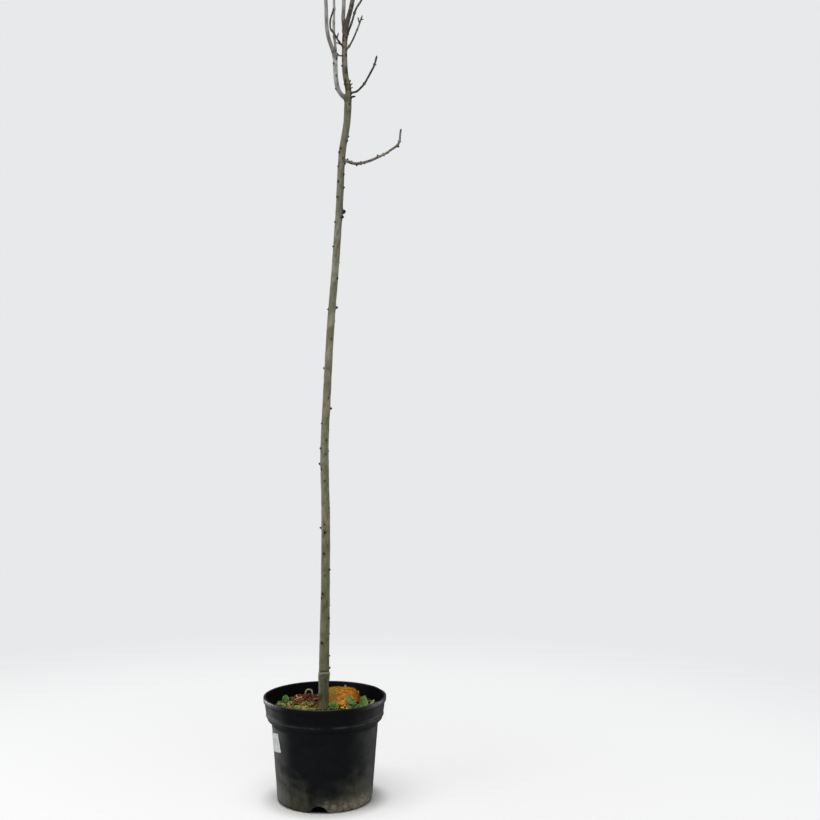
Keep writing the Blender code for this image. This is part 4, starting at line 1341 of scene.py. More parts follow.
def bark_relief(bark, seed, cushions=(), graft=False):
    """The bark's relief as a function of distance along, angle and radius.

    The added radius is a slow waviness, shallow upright furrows, a low cushion round each
    knob and, on the trunk, the graft. Marks say where it is dark or pale: the dark mark is
    darker in the furrows, and holds painted shade round each knob's foot and in the graft's
    groove and slit.
    """

    def relief(along, angle, radius):
        round_cells = max(5, round(float(radius.mean()) * 2.0 * np.pi / FURROW_WIDTH))
        waves = lattice_noise(along, angle, WAVE_LENGTH, 5, seed)
        furrows = lattice_noise(along, angle, FURROW_LENGTH, round_cells, seed + 1)
        deep = clamped(-furrows - 0.15)
        grain = lattice_noise(along, angle, GRAIN_LENGTH, round_cells * 2, seed + 2)
        added = radius * 0.030 * waves - bark.furrow_depth * deep + 0.10 * bark.furrow_depth * grain
        dark = 0.75 * deep + 0.10 * clamped(grain)
        pale = np.zeros_like(along)
        for knob in cushions:
            round_ = wrapped(angle - knob.turn) * radius
            off = ((along - knob.along) / knob.width) ** 2 + (round_ / (0.9 * knob.width)) ** 2
            added = added + 0.17 * knob.width * np.exp(-off)
            # Painted shade: the bark darkens round each knob's foot
            dark = np.maximum(dark, 0.9 * np.exp(-1.6 * off))
        if graft:
            height = along + TRUNK_FOOT
            below = GRAFT_HEIGHT + GRAFT_TILT * np.cos(angle + 0.8) - height
            groove = bell(below / GRAFT_GROOVE)
            lower = bell((below - 0.013) / 0.0014) * 0.5
            rightward = clamped(np.cos(angle)) ** 2
            bulge = bell((below - 0.008) / 0.0045) * rightward
            slit_round = wrapped(angle - SLIT_TURN) * radius / (SLIT_WIDTH / 2.0)
            slit = np.exp(-(slit_round**4) - ((height - SLIT_HEIGHT) / (SLIT_OPENING / 2.0)) ** 2)
            added = added - GRAFT_GROOVE_DEPTH * groove - 0.0003 * lower
            added = added + GRAFT_BULGE * bulge - SLIT_DEPTH * slit
            slimmer = clamped((GRAFT_HEIGHT - 0.022 - height) / 0.012)
            added = added - UNDER_GRAFT_LOSS * slimmer * rightward
            # Painted shade in the graft's groove, its slit and the fine line under it
            dark = np.maximum(dark, np.maximum(np.maximum(groove, slit), lower * 0.7))
            pale = 0.7 * bell((below - 0.0048) / 0.0020) * (1.0 - slit)
        return added, {"dark": np.clip(dark, 0.0, 1.0), "scar": pale}

    return relief


def eased_tip(limb, next_radius, length):
    """The limb with its last stretch eased to the radius of the limb that goes on from it."""
    left = length_along(limb.path)[-1] - length_along(limb.path)
    share = clamped(1.0 - left / length) ** 1.5
    return Limb(limb.path, limb.radii * (1.0 - share) + next_radius * share)


def stem_beyond(bough):
    """The mass whose stem carries a bough on past its end, or None."""
    found = [mass for mass in MASSES if mass.meets == (bough.name,) and mass.first_pair < ONWARD_PAIR]
    return found[0] if found else None


@functools.cache
def smooth_limbs():
    """The trunk, boughs and stems by name, with points close enough for their relief."""
    line = smooth_route(TRUNK_ROUTE, FINE_SPACING)
    trunk = Limb(line, trunk_thickness(line))
    limbs = {"trunk": eased_tip(trunk, FORK_SHARE * BOUGHS[0].foot_diameter / 2.0, FORK_LENGTH)}
    for each in (*BOUGHS, *MASSES):
        limb = tapered(smooth_route(each.route, FINE_SPACING), each.foot_diameter, each.tip_diameter)
        beyond = stem_beyond(each)
        if beyond:
            limb = eased_tip(limb, TIP_SHARE * beyond.foot_diameter / 2.0, TIP_LENGTH)
        limbs[each.name] = limb
    return limbs


@functools.cache
def onward_pairs():
    """Each limb with the one that carries it on in the same line, which no fillet joins."""
    pairs = {(bough.name, stem_beyond(bough).name) for bough in BOUGHS if stem_beyond(bough)}
    return pairs | {("trunk", BOUGHS[0].name)}


def limbs_met(name):
    """The limbs that meet the named one in a fork, both those it leaves and those it bears."""
    limbs = smooth_limbs()
    rows = {each.name: each for each in (*BOUGHS, *MASSES)}
    met = list(rows[name].meets) if name in rows else []
    met += [other for other, row in rows.items() if name in row.meets]
    onward = onward_pairs()
    return [limbs[other] for other in met if (name, other) not in onward and (other, name) not in onward]


def on_limb(limb, axis, place, turn):
    """The spot on a limb's bark at a place along one axis and a turn round the limb.

    It gives the spot, the outward direction, the heading and the distance along the limb.
    """
    heading, side, back = cross_frame(limb.path)
    index = int(np.argmin(np.abs(limb.path[:, axis] - place)))
    out = side[index] * math.cos(turn) + back[index] * math.sin(turn)
    spot = limb.path[index] + out * limb.radii[index]
    return spot, out, heading[index], length_along(limb.path)[index]


@functools.cache
def knobs_by_limb():
    """Every knob, those named above and the hidden ones, by the limb that bears it."""
    rng = random.Random(HIDDEN_KNOB_SEED)
    rows = {name: list(knobs) for name, knobs in KNOBS.items()}
    low, high = HIDDEN_KNOB_HEIGHTS
    for index in range(HIDDEN_KNOBS):
        height = low + (high - low) * (index + rng.uniform(0.1, 0.9)) / HIDDEN_KNOBS
        rows["trunk"].append((height, rng.uniform(*HIDDEN_KNOB_TURNS), rng.uniform(*HIDDEN_KNOB_WIDTHS)))
    found = {}
    for name, own in rows.items():
        found[name] = []
        for place, degrees, width in own:
            turn, width = math.radians(degrees), width * MILLIMETRE
            spot, out, heading, along = on_limb(smooth_limbs()[name], KNOB_AXES[name], place, turn)
            axis = out + heading * rng.uniform(0.15, 0.6)
            size = (width * 1.25, width * rng.uniform(0.85, 1.0), width * rng.uniform(0.9, 1.2))
            found[name].append(Knob(spot + out * width * 0.16, axis, size, along, turn, width))
    return found


def bud_places(limb, spacing, start, rng):
    """Where opposite buds sit along a limb: distances along and turns round it."""
    total = length_along(limb.path)[-1]
    at = start
    turn = rng.uniform(0.0, math.pi)
    found = []
    while at < total - 0.004:
        found += [(at, turn), (at, turn + math.pi)]
        at += spacing * rng.uniform(0.7, 1.3)
        turn += math.pi / 2.0
    return found


def bearer(twig, grown):
    """The limb whose middle line a twig starts from."""
    return min(grown, key=lambda limb: distances(twig.path[:1], limb.path).min())


def twig_relief(buds=(), radius_at=0.0):
    """Relief for a twig: a swollen node with a pale leaf scar under each bud."""

    def relief(along, angle, radius):
        added = 0.035 * radius * lattice_noise(along, angle, 0.012, 4, 7)
        scar = np.zeros_like(along)
        for at, turn in buds:
            off = wrapped(angle - turn)
            ring = bell((along - at) / (1.5 * radius_at))
            cushion = np.exp(-(((along - at + 0.8 * radius_at) / (0.9 * radius_at)) ** 2) - (off / 0.75) ** 2)
            added = added + radius * (0.10 * ring + 0.30 * cushion)
            mark = np.exp(-(((along - at + 0.9 * radius_at) / (0.7 * radius_at)) ** 2) - (off / 0.55) ** 2)
            scar = np.maximum(scar, mark)
        furrow = clamped(-lattice_noise(along, angle, 0.010, 6, 17) - 0.3)
        return added, {"dark": furrow * 0.6, "scar": scar}

    return relief


def buds_on(limb, found, scale, terminal=1.0):
    """Places, axes and sizes of the winter buds on a limb, with a larger one at its tip."""
    heading, side, back = cross_frame(limb.path)
    along = length_along(limb.path)
    rows = []
    for at, turn in found:
        index = min(int(np.searchsorted(along, at)), len(along) - 1)
        middle = np.array([np.interp(at, along, limb.path[:, axis]) for axis in range(3)])
        out = side[index] * math.cos(turn) + back[index] * math.sin(turn)
        axis = unit(heading[index] + BUD_LEAN * out)
        size = scale * (BUD_SIZE[0] + BUD_SIZE[1] * limb.radii[index])
        place = middle + out * limb.radii[index] * 0.98 + axis * size * 0.35
        rows.append((place, axis, [size * share for share in BUD_SHAPE]))
    size = terminal * scale * (LAST_BUD_SIZE[0] + LAST_BUD_SIZE[1] * limb.radii[-1])
    place = limb.path[-1] + heading[-1] * size * 0.40
    rows.append((place, heading[-1], [size * share for share in LAST_BUD_SHAPE]))
    return rows


def bark_from_to(limb):
    """The bark of a bough or mass, from the tone of the limb that bears it to its own."""
    tones = {each.name: each.tone for each in (*BOUGHS, *MASSES)}
    return bark_material(tones.get(limb.meets[0], TRUNK_TONE), limb.tone)


@functools.cache
def bark_material(foot_tone, tone):
    """Young ash bark: a smooth corky skin that weathering greys and algae greens.

    It is matt, with fine upright streaks, darker shallow furrows and small pale breathing
    pores, so it reads as mottled olive grey from a few steps away. Painted shade darkens it
    in the angles of forks, round knobs and in the graft. A limb's foot has the tone of the
    limb that bears it.
    """
    paint = Paint(f"young ash bark, {foot_tone} to {tone}", 0.78, 0.3)
    node = paint.node
    own_tone = node("Attribute", attribute_name="own_tone", output="Fac")
    place = node("Attribute", attribute_name="bark_place", output="Vector")
    foot, own = BARK_TONES[foot_tone], BARK_TONES[tone]
    light, middle, dark = (node("mix", own_tone, *codes) for codes in zip(foot[:3], own[:3]))
    streaks = paint.lumps((2.6, 2.6, 30.0), 4.0, 0.6, place)
    mottling = paint.lumps((16.0, 16.0, 34.0), 3.0, place=place)
    grain = paint.lumps((1.1, 1.1, 2.6), place=place)
    paint.colour = node("mix", node("between", mottling, 0.35, 0.65), middle, light)
    paint.lay(node("between", streaks, 0.50, 0.72, 0.0, 0.55), dark)
    height = node("SeparateXYZ", paint.solid, output="Z")
    paint.lay(node("between", height, *LOW_BARK, 0.58, 0.0), "algae")
    if foot_tone == TRUNK_TONE:
        high = node("between", height, *HIGH_BARK, 0.0, 0.75)
        if tone != TRUNK_TONE:
            high = node("times", high, node("between", own_tone, 0.0, 1.0, 1.0, 0.0))
        paint.lay(high, "weathered bark")
    if tone == LEADER_TONE:
        off_grey = paint.off(height, LEADER_GREY_HEIGHT)
        paint.lay(node("between", off_grey, 0.016, 0.036, 0.60, 0.0), "grey skin")
    moss = node("between", paint.lumps((24.0, 24.0, 36.0)), 0.48, 0.72)
    amount = node("between", own_tone, 0.0, 1.0, 0.8 * foot.moss, 0.8 * own.moss)
    paint.lay(node("times", moss, amount), "moss")
    cells = node("TexVoronoi", paint.stretched((5.5, 5.5, 8.0), place), 1.0)
    pores = node("between", cells, 0.10, 0.17, 1.0, 0.0)
    paint.lay(node("times", pores, 0.35), "pores")
    if foot.blotches or own.blotches:
        blotches = node("between", paint.lumps((10.0, 10.0, 16.0), 3.0, 0.6), 0.52, 0.60)
        amount = node("between", own_tone, 0.0, 1.0, foot.blotches, own.blotches)
        paint.lay(node("times", blotches, amount), "blotches")
    # The dark mark lays the furrows' colour, and painted shade in forks, round knobs and in the graft
    paint.lay(node("times", node("Attribute", attribute_name="dark", output="Fac"), 0.85), "furrows")
    paint.lay(node("times", node("Attribute", attribute_name="scar", output="Fac"), 0.75), "leaf scars")
    relief = node("plus", node("times", streaks, 0.7), node("times", grain, 0.5))
    return paint.done(node("plus", relief, node("times", pores, 0.4)), 0.5)


def bud_material():
    """Ash bud scales: brown-black, finely felted skin that hardly shines."""
    paint = Paint("felted bud scales", 0.72, 0.35)
    node = paint.node
    felt = paint.lumps((0.9, 0.9, 1.4), 3.0)
    paint.colour = node("mix", node("between", felt, 0.35, 0.70), "bud black", "bud brown")
    return paint.done(felt, 0.2)


def pot_material(pot):
    """Recycled black polyethylene, moulded: blue-black, satin, with dried mud low down.

    Handling leaves faint grey scuffs. Splashed soil has dried on the lowest part in soft
    clouds, palest near the foot on the right and washed off in the middle of the front. A
    painted grey highlight runs along the bead's crest, and faces that look up, the ledge and
    the lip, are paler with dust and painted top light.
    """
    paint = Paint("moulded black polyethylene", 0.42, 0.30)
    node = paint.node
    height = node("SeparateXYZ", paint.solid, output="Z")
    across = node("SeparateXYZ", paint.solid, output="X")
    clouds = paint.lumps((38.0, 38.0, 26.0), 4.0, 0.6)
    fine = paint.lumps((3.5, 3.5, 3.5), 3.0, 0.65)
    runs = paint.lumps((11.0, 11.0, 20.0), 4.0, 0.7)
    paint.colour = node("mix", node("between", clouds, 0.30, 0.75), pot.wall_colour, "pot blue")
    paint.lay(node("between", paint.lumps((9.0, 9.0, 2.2), 5.0, 0.75), 0.62, 0.74, 0.0, 0.30), "scuffs")
    washed = node("between", paint.off(across, 0.002), 0.022, 0.060, 0.044, 0.0)
    edge = node("plus", node("plus", height, washed), node("times", clouds, -0.12))
    patches, grit = node("between", runs, 0.30, 0.66, 0.38, 1.0), node("between", fine, 0.2, 0.62, 0.75, 1.0)
    thickness = node("times", node("times", patches, grit), pot.mud)
    mud = node("times", node("between", edge, -0.060, 0.062, 1.0, 0.0), thickness)
    rough_height = node("plus", height, node("times", node("minus", runs, 0.5), 0.06))
    lowest = node("between", rough_height, 0.016, 0.052, 1.0, 0.0)
    lowest = node("times", node("between", across, -0.018, 0.014), lowest)
    flecks = node("between", paint.lumps((15.0, 15.0, 10.0), 5.0, 0.7), 0.30, 0.66, 0.26, 1.0)
    lowest = node("times", lowest, flecks)
    mud = node("larger", mud, node("times", lowest, 0.85))
    paint.lay(mud, node("mix", lowest, pot.mud_colour, "pale mud"))
    off_bead = paint.off(height, BEAD_HEIGHT)
    on_bead = node("between", off_bead, 0.001, 0.0042, 1.0, 0.0)
    # Painted highlight: a pale grey band along the bead's crest
    bead_highlight = node("times", on_bead, node("between", clouds, 0.36, 0.60))
    paint.lay(node("times", bead_highlight, 0.75), "worn bead")
    paint.lay(node("between", height, 0.238, 0.246, 0.0, 0.7), "clean collar")
    # Dust and painted top light: faces that look up are paler
    upward = node("SeparateXYZ", node("NewGeometry", output="Normal"), output="Z")
    dust = node("times", node("between", upward, 0.12, 0.75), node("between", clouds, 0.35, 0.65, 0.15, 0.80))
    paint.lay(dust, "dust")
    rough = node("plus", node("times", mud, 0.45), node("between", clouds, 0.3, 0.7, 0.38, 0.52))
    rough = node("plus", rough, node("between", off_bead, 0.004, 0.012, 0.30, 0.0))
    paint.tree.links.new(rough, paint.shader.inputs["Roughness"])
    return paint.done(node("plus", node("times", fine, 0.25), mud), 0.25)


def label_material():
    """Coated label paper: off-white, slightly soiled, with the faint sheen of a matt coating."""
    paint = Paint("coated label paper", 0.55, 0.4)
    node = paint.node
    soil = paint.lumps((14.0, 14.0, 10.0), 4.0, 0.65)
    paint.colour = node("mix", node("between", soil, 0.40, 0.66, 0.0, 0.8), "paper", "soiled paper")
    return paint.done()


def crumbly_material(name, tints, grain, depth, roughness=0.95, specular=0.2, shade_low_down=False):
    """A matt material of two tints in grains, with its grain and depth in millimetres."""
    paint = Paint(name, roughness, specular)
    node = paint.node
    lumps = paint.lumps((grain, grain, grain), 3.0, 0.6)
    paint.colour = node("mix", node("between", lumps, 0.35, 0.68), *tints)
    # Painted shade: low down the filling is darkened almost to black, where the pot's inside lies in shade
    if shade_low_down:
        height = node("SeparateXYZ", paint.solid, output="Z")
        paint.lay(node("between", height, 0.060, 0.120, 1.0, 0.0), "soaked soil")
    return paint.done(lumps, depth)


def weed_material(name, green):
    """A living leaf: waxy green with a paler rib and a slightly paler rim."""
    paint = Paint(name, 0.5, 0.4)
    node = paint.node
    off_rib = paint.off(node("SeparateXYZ", node("TexCoord", output="UV"), output="X"), 0.5)
    pale = tuple(0.55 * channel + added for channel, added in zip(green, WEED_PALENESS))
    paint.colour = node("mix", node("between", off_rib, 0.0, 0.08, 0.5, 0.0), green, pale)
    paint.lay(node("between", off_rib, 0.34, 0.48, 0.0, 0.70), pale)
    deep = tuple(0.40 * channel for channel in green)
    paint.lay(node("between", paint.lumps((5.0, 5.0, 5.0)), 0.45, 0.75, 0.0, 0.75), deep)
    return paint.done()


def fallen_leaf_material(leaf):
    """A dying leaf: bright orange, ochre where it yellowed first, green left beside the veins.

    A waxy skin over a net of veins, so it shines a little and the veins show paler. Its right
    rim has browned, and small brown specks of mould cover it.
    """
    paint = Paint("withered orange leaf", 0.55, 0.15)
    node = paint.node
    uv = node("TexCoord", output="UV")
    across, along = node("SeparateXYZ", uv, output="X"), node("SeparateXYZ", uv, output="Y")
    clouds = paint.lumps((15.0, 15.0, 15.0), 3.0, 0.6)
    shifted = node("plus", across, node("times", node("minus", clouds, 0.5), 0.30))
    blotches = paint.lumps((8.0, 8.0, 6.0), 3.0, 0.6)
    speckle = paint.lumps((2.0, 2.0, 2.0), 3.0, 0.7)
    browned = node("between", blotches, 0.40, 0.60, 0.0, 0.90)
    paint.colour = node("mix", browned, leaf.leaf_colour, "leaf brown")
    paint.lay(node("between", shifted, 0.26, 0.34, 1.0, 0.0), "leaf ochre")
    spot = node("between", paint.off(shifted, 0.17), 0.02, 0.08, 0.85, 0.0)
    paint.lay(node("times", spot, node("between", along, 0.35, 0.50, 1.0, 0.0)), "leaf rust")
    paint.lay(node("between", paint.off(shifted, 0.32), 0.015, 0.055, 0.85, 0.0), "leaf green")
    paint.lay(node("between", shifted, 0.84, 0.97, 0.0, 0.85), "leaf rim")
    paint.lay(node("between", along, 0.0, 0.30, 0.6, 0.0), "leaf yellow")
    paint.lay(node("times", node("Attribute", attribute_name="vein", output="Fac"), 0.28), "leaf veins")
    paint.lay(node("between", speckle, 0.54, 0.68, 0.0, 0.75), "leaf specks")
    return paint.done(speckle, 0.12)


def length_property(name, description, metres):
    """A length that a user can change, shown in the scene's units."""
    look = {"subtype": "DISTANCE", "unit": "LENGTH", "precision": 5}
    return FloatProperty(name=name, description=description, default=metres, min=0.0, **look)


def power_property(name, description, watts):
    """A lamp's power that a user can change."""
    return FloatProperty(name=name, description=description, default=watts, min=0.0, subtype="POWER")


def colour_property(name, description, code):
    """A colour that a user can change, from an sRGB hex code."""
    look = {"default": hex_colour(code), "min": 0.0, "max": 1.0, "size": 3, "subtype": "COLOR"}
    return FloatVectorProperty(name=name, description=description, **look)


def count_property(name, description, count):
    """A number of small pieces that a user can change."""
    return IntProperty(name=name, description=description, default=count, min=0)


def share_property(name, description, share, lowest, highest):
    """A plain number that a user can change between two ends."""
    return FloatProperty(name=name, description=description, default=share, min=lowest, max=highest)


class AshPotSettings(PropertyGroup):
    """Sizes and colours of the pot and its label."""

    out_of_round: length_property("Out of round", "How far the soft rim stands out of round", 0.0006)
    dent_depth: length_property("Dent depth", "Depth of the shallow dents in the wall", 0.0005)
    rim_pinch: length_property("Rim pinch", "How far the rim is pushed in at its bruised spot", 0.0022)
    bead_rise: length_property("Bead rise", "Height of the bead under the collar", 0.0019)
    bead_wave: length_property("Bead wave", "How far the bead strays up and down", 0.0008)
    label_width: length_property("Label width", "Width of the blank paper label", 0.066)
    label_height: length_property("Label height", "Height of the blank paper label", 0.050)
    mud: share_property("Mud", "How much dried mud clings low down", 0.9, 0.0, 1.0)
    wall_colour: colour_property("Wall colour", "Colour of the moulded plastic", "0a0c10")
    mud_colour: colour_property("Mud colour", "Colour of the dried mud", "50503c")


class AshLitterSettings(PropertyGroup):
    """Counts, sizes and colours of what lies on the soil."""

    chips: count_property("Bark chips", "Number of chips of each tint", 190)
    straws: count_property("Straws", "Number of dry straws", 320)
    grains: count_property("Grains", "Number of yellow leaf crumbs", 80)
    crumbs: count_property("Crumbs", "Number of crumbs of soil", 1500)
    leaf_width: length_property("Leaf width", "Width of the fallen leaf", 0.102)
    leaf_depth: length_property("Leaf depth", "How far back the fallen leaf reaches", 0.072)
    leaf_rise: length_property("Leaf rise", "How high the fallen leaf stands over the soil", 0.0425)
    leaf_colour: colour_property("Leaf colour", "Main colour of the fallen leaf", "d28410")


class AshBarkSettings(PropertyGroup):
    """Relief of the bark and size of the buds."""

    furrow_depth: length_property("Furrow depth", "Depth of the shallow furrows in the bark", 0.0006)
    bud_spacing: length_property("Bud spacing", "Distance between pairs of buds on a twig", 0.038)
    fine_spacing: length_property("Fine shoot spacing", "Distance between pairs of the finest shoots", 0.052)
    bud_scale: share_property("Bud scale", "Size of the winter buds", 1.0, 0.1, 3.0)


class AshStageSettings(PropertyGroup):
    """Colours of the floor and surroundings and the strength of the lights."""

    surroundings: colour_property("Surroundings", "Colour behind the plant", "e8e9ea")
    floor: colour_property("Floor", "Colour of the floor", "f0f0ee")
    fill: FloatProperty(
        name="Fill light", description="Strength of the light from all round", default=0.12, min=0.0
    )
    top_power: power_property("Top light", "Power of the broad light overhead", 135.0)
    front_power: power_property("Front light", "Power of the broad, glossless light in front", 34.0)
    side_power: power_property("Side light", "Power of the broad light at the left", 32.0)
    left_power: power_property(
        "Left edge light", "Power of the low light that only shines, at the left", 150.0
    )
    right_power: power_property(
        "Right edge light", "Power of the low light that only shines, at the right", 80.0
    )


class ASH_OT_pot(Operator):
    """Make the moulded pot with its bead and drain notches"""

    bl_idname = "ash.pot"
    bl_label = "Pot"

    def execute(self, context):
        pot = context.scene.ash_pot
        piece = piece_from("nursery_pot", pot_shape(pot), pot_material(pot), ("pot",))
        cut_notches(piece)
        return {"FINISHED"}


class ASH_OT_label(Operator):
    """Make the blank paper label on the pot's left side"""

    bl_idname = "ash.label"
    bl_label = "Label"

    def execute(self, context):
        piece = piece_from("blank_label", label_shape(context.scene.ash_pot), label_material())
        add_thickness(piece, LABEL_THICKNESS)
        return {"FINISHED"}


class ASH_OT_soil(Operator):
    """Make the potting soil and the crumbs on it"""

    bl_idname = "ash.soil"
    bl_label = "Soil"

    def execute(self, context):
        # Damp composted bark and peat: crumbly and dark brown, with painted shade that makes it almost black
        # low down in the pot
        tints = ("17100c", "3c2a1e")
        compost = crumbly_material("damp composted bark and peat", tints, 4.0, 1.5, 0.95, 0.08, shade_low_down=True)
        piece_from("potting_soil", soil_shape(context.scene.ash_pot), compost, ("soil",))
        crumbs = litter_blobs(CRUMBS, ((None, context.scene.ash_litter.crumbs),))
        piece_from("soil_crumbs", crumbs, compost)
        return {"FINISHED"}


class ASH_OT_litter(Operator):
    """Scatter bark chips, straws and crumbled leaf on the soil"""

    bl_idname = "ash.litter"
    bl_label = "Litter"

    def execute(self, context):
        litter = context.scene.ash_litter
        # Pine bark, shredded for mulch, and dry grass: matt, and dull all over
        for order, (tint, codes) in enumerate(CHIP_TINTS.items()):
            count = litter.chips if tint != "pale" else litter.chips // 3
            chips = litter_blobs(CHIPS, ((MULCH_HEAP, count), (None, count // 2)), order)
            material = crumbly_material(f"pine bark chips, {tint}", codes, 2.5, 0.5, 0.85)
            piece_from(f"bark_chips_{tint}", chips, material)
        for order, (tint, codes) in enumerate(STRAW_TINTS.items()):
            heaps = ((STRAW_HEAP, litter.straws // 2), (None, litter.straws // 4))
            material = crumbly_material(f"straw, {tint}", codes, 6.0, 0.1, 0.8)
            piece_from(f"straws_{tint}", strands(STRAW_SEED + order, heaps), material)
        # A yellowed leaf crumbled to bits: brittle, matt and the brightest litter
        grains = litter_blobs(GRAINS, ((GRAIN_HEAP, litter.grains),))
        material = crumbly_material("crumbled yellow leaf", ("93621a", "f0c65c"), 4.0, 0.5)
        piece_from("leaf_crumbs", grains, material)
        return {"FINISHED"}


class ASH_OT_leaves(Operator):
    """Make the weeds' small leaves and the fallen orange leaf"""

    bl_idname = "ash.leaves"
    bl_label = "Leaves"

    def execute(self, context):
        litter = context.scene.ash_litter
        for tone, code in WEED_GREENS.items():
            shapes, uv = zip(*(weed_leaf(weed) for weed in (*WEEDS, *rosette_leaves()) if weed.tone == tone))
            material = weed_material(f"weed leaf, {tone}", hex_colour(code))
            piece = piece_from(f"weed_leaves_{tone}", joined(shapes), material, uv=np.concatenate(uv))
            add_thickness(piece, WEED_THICKNESS)
        # A weed's living stem: smooth and waxy, pale green and faintly shining
        stem = tapered(smooth_route(ARCHED_STEM, ARCHED_STEM_SPACING), *ARCHED_STEM_DIAMETERS)
        shape = tube(stem, ARCHED_STEM_COLUMNS, twig_relief(), foot_rounding=1.0, round_tip=True)
        material = crumbly_material("pale weed stem", ("7c8658", "b4ba92"), 6.0, 0.1, 0.6)
        piece_from("arched_stem", shape, material)
        shape, uv = fallen_leaf(litter)
        piece = piece_from("fallen_leaf", shape, fallen_leaf_material(litter), uv=uv)
        add_thickness(piece, LEAF_THICKNESS)
        return {"FINISHED"}


class ASH_OT_trunk(Operator):
    """Make the trunk with its bark relief and graft"""

    bl_idname = "ash.trunk"
    bl_label = "Trunk"

    def execute(self, context):
        relief = bark_relief(context.scene.ash_bark, TRUNK_SEED, knobs_by_limb()["trunk"], graft=True)
        shape = tube(smooth_limbs()["trunk"], TRUNK_COLUMNS, relief, limbs_met("trunk"))
        piece_from("trunk_bark", shape, bark_material(TRUNK_TONE, TRUNK_TONE), ("trunk",))
        return {"FINISHED"}


class ASH_OT_boughs(Operator):
    """Make the boughs with their bark relief"""

    bl_idname = "ash.boughs"
    bl_label = "Boughs"

    def execute(self, context):
        for index, bough in enumerate(BOUGHS):
            knobs = knobs_by_limb().get(bough.name, ())
            relief = bark_relief(context.scene.ash_bark, BOUGH_SEED + 10 * index, knobs)
            onward = (bough.meets[0], bough.name) in onward_pairs()
            rounding = ONWARD_ROUNDING if onward else FOOT_ROUNDING
            ends_in_fork = not (bough.bud or stem_beyond(bough))
            limb, met = smooth_limbs()[bough.name], limbs_met(bough.name)
            shape = tube(limb, BOUGH_COLUMNS, relief, met, rounding, ends_in_fork, two_tones=True)
            piece_from(f"{bough.name}_bark", shape, bark_from_to(bough), (bough.name,))
        return {"FINISHED"}


class ASH_OT_knobs(Operator):
    """Make the dark knobs on the trunk and boughs and the crown's short spurs"""

    bl_idname = "ash.knobs"
    bl_label = "Knobs"

    def execute(self, context):
        # Blunt knobs of old buds and pruned shoots, sunk in the bark and leaning upwards
        knobs = [knob for own in knobs_by_limb().values() for knob in own]
        piece_from("bark_knobs", blobs_in_rows(knobs, KNOB_LOOK), bud_material())
        spurs = []
        for foot, tip, route in SPURS:
            limb = tapered(smooth_route(route, SPUR_FINE_SPACING), foot * MILLIMETRE, tip * MILLIMETRE)
            spurs.append(tube(limb, SIDE_COLUMNS, twig_relief(), foot_rounding=FOOT_ROUNDING, round_tip=True))
        piece_from("short_spurs", joined(spurs), bud_material())
        return {"FINISHED"}


class ASH_OT_twigs(Operator):
    """Make the masses of twigs, carried on to finer shoots, and their winter buds"""

    bl_idname = "ash.twigs"
    bl_label = "Twigs"

    def execute(self, context):
        bark = context.scene.ash_bark
        _, masses, fine = grown_tree(bark.fine_spacing)
        buds = []
        for mass in MASSES:
            rng = random.Random(BUD_SEED + mass.seed)
            side_twigs = (masses[mass.name] + fine[mass.name])[1:]
            grown = [smooth_limbs()[mass.name], *(refined(limb, TWIG_FINE_SPACING) for limb in side_twigs)]
            shapes = []
            for order, limb in enumerate(grown):
                closeness, first, size = SHOOT_BUDS if limb.radii[0] < SHOOT_RADIUS else TWIG_BUDS
                found = bud_places(limb, bark.bud_spacing * closeness, first, rng)
                buds += buds_on(limb, found, bark.bud_scale * size)
                relief = twig_relief(found, float(limb.radii.mean()))
                met = [bearer(limb, grown[:order])] if order else limbs_met(mass.name)
                columns = SIDE_COLUMNS if order else STEM_COLUMNS
                shapes.append(tube(limb, columns, relief, met, FOOT_ROUNDING, two_tones=not order))
            piece_from(f"{mass.name}_shoots", joined(shapes), bark_from_to(mass), (mass.name,))
        for bough in BOUGHS:
            if bough.bud:
                limb, rng = smooth_limbs()[bough.name], random.Random(len(bough.name))
                spacing, first, size, last_size = BOUGH_BUDS
                buds += buds_on(limb, bud_places(limb, spacing, first, rng), bark.bud_scale * size, last_size)
        piece_from("winter_buds", blobs_in_rows(buds, BUD_LOOK), bud_material())
        return {"FINISHED"}


class ASH_OT_stage(Operator):
    """Make the floor, the soft studio lights and the camera"""

    bl_idname = "ash.stage"
    bl_label = "Stage"

    def execute(self, context):
        stage = context.scene.ash_stage
        scene = context.scene
        scene.view_settings.view_transform = "Standard"
        add_surroundings(scene, stage)
        add_floor(stage)
        for lamp in LAMPS:
            add_lamp(lamp, getattr(stage, lamp.power))
        add_camera(scene)
        return {"FINISHED"}


def add_surroundings(scene, stage):
    """A plain pale colour all round, which lights the plant more gently than it looks."""
    world = bpy.data.worlds.new("pale_surroundings")
    scene.world = world
    world.use_nodes = True
    tree = world.node_tree
    seen = tree.nodes["Background"]
    seen.inputs["Color"].default_value = opaque(stage.surroundings)
    light = add_node(tree, "Background", "ffffff", stage.fill)
    path = add_node(tree, "LightPath", output="Is Camera Ray")
    mix = add_node(tree, "MixShader", path, light, seen.outputs[0])
    tree.links.new(mix, tree.nodes["World Output"].inputs["Surface"])


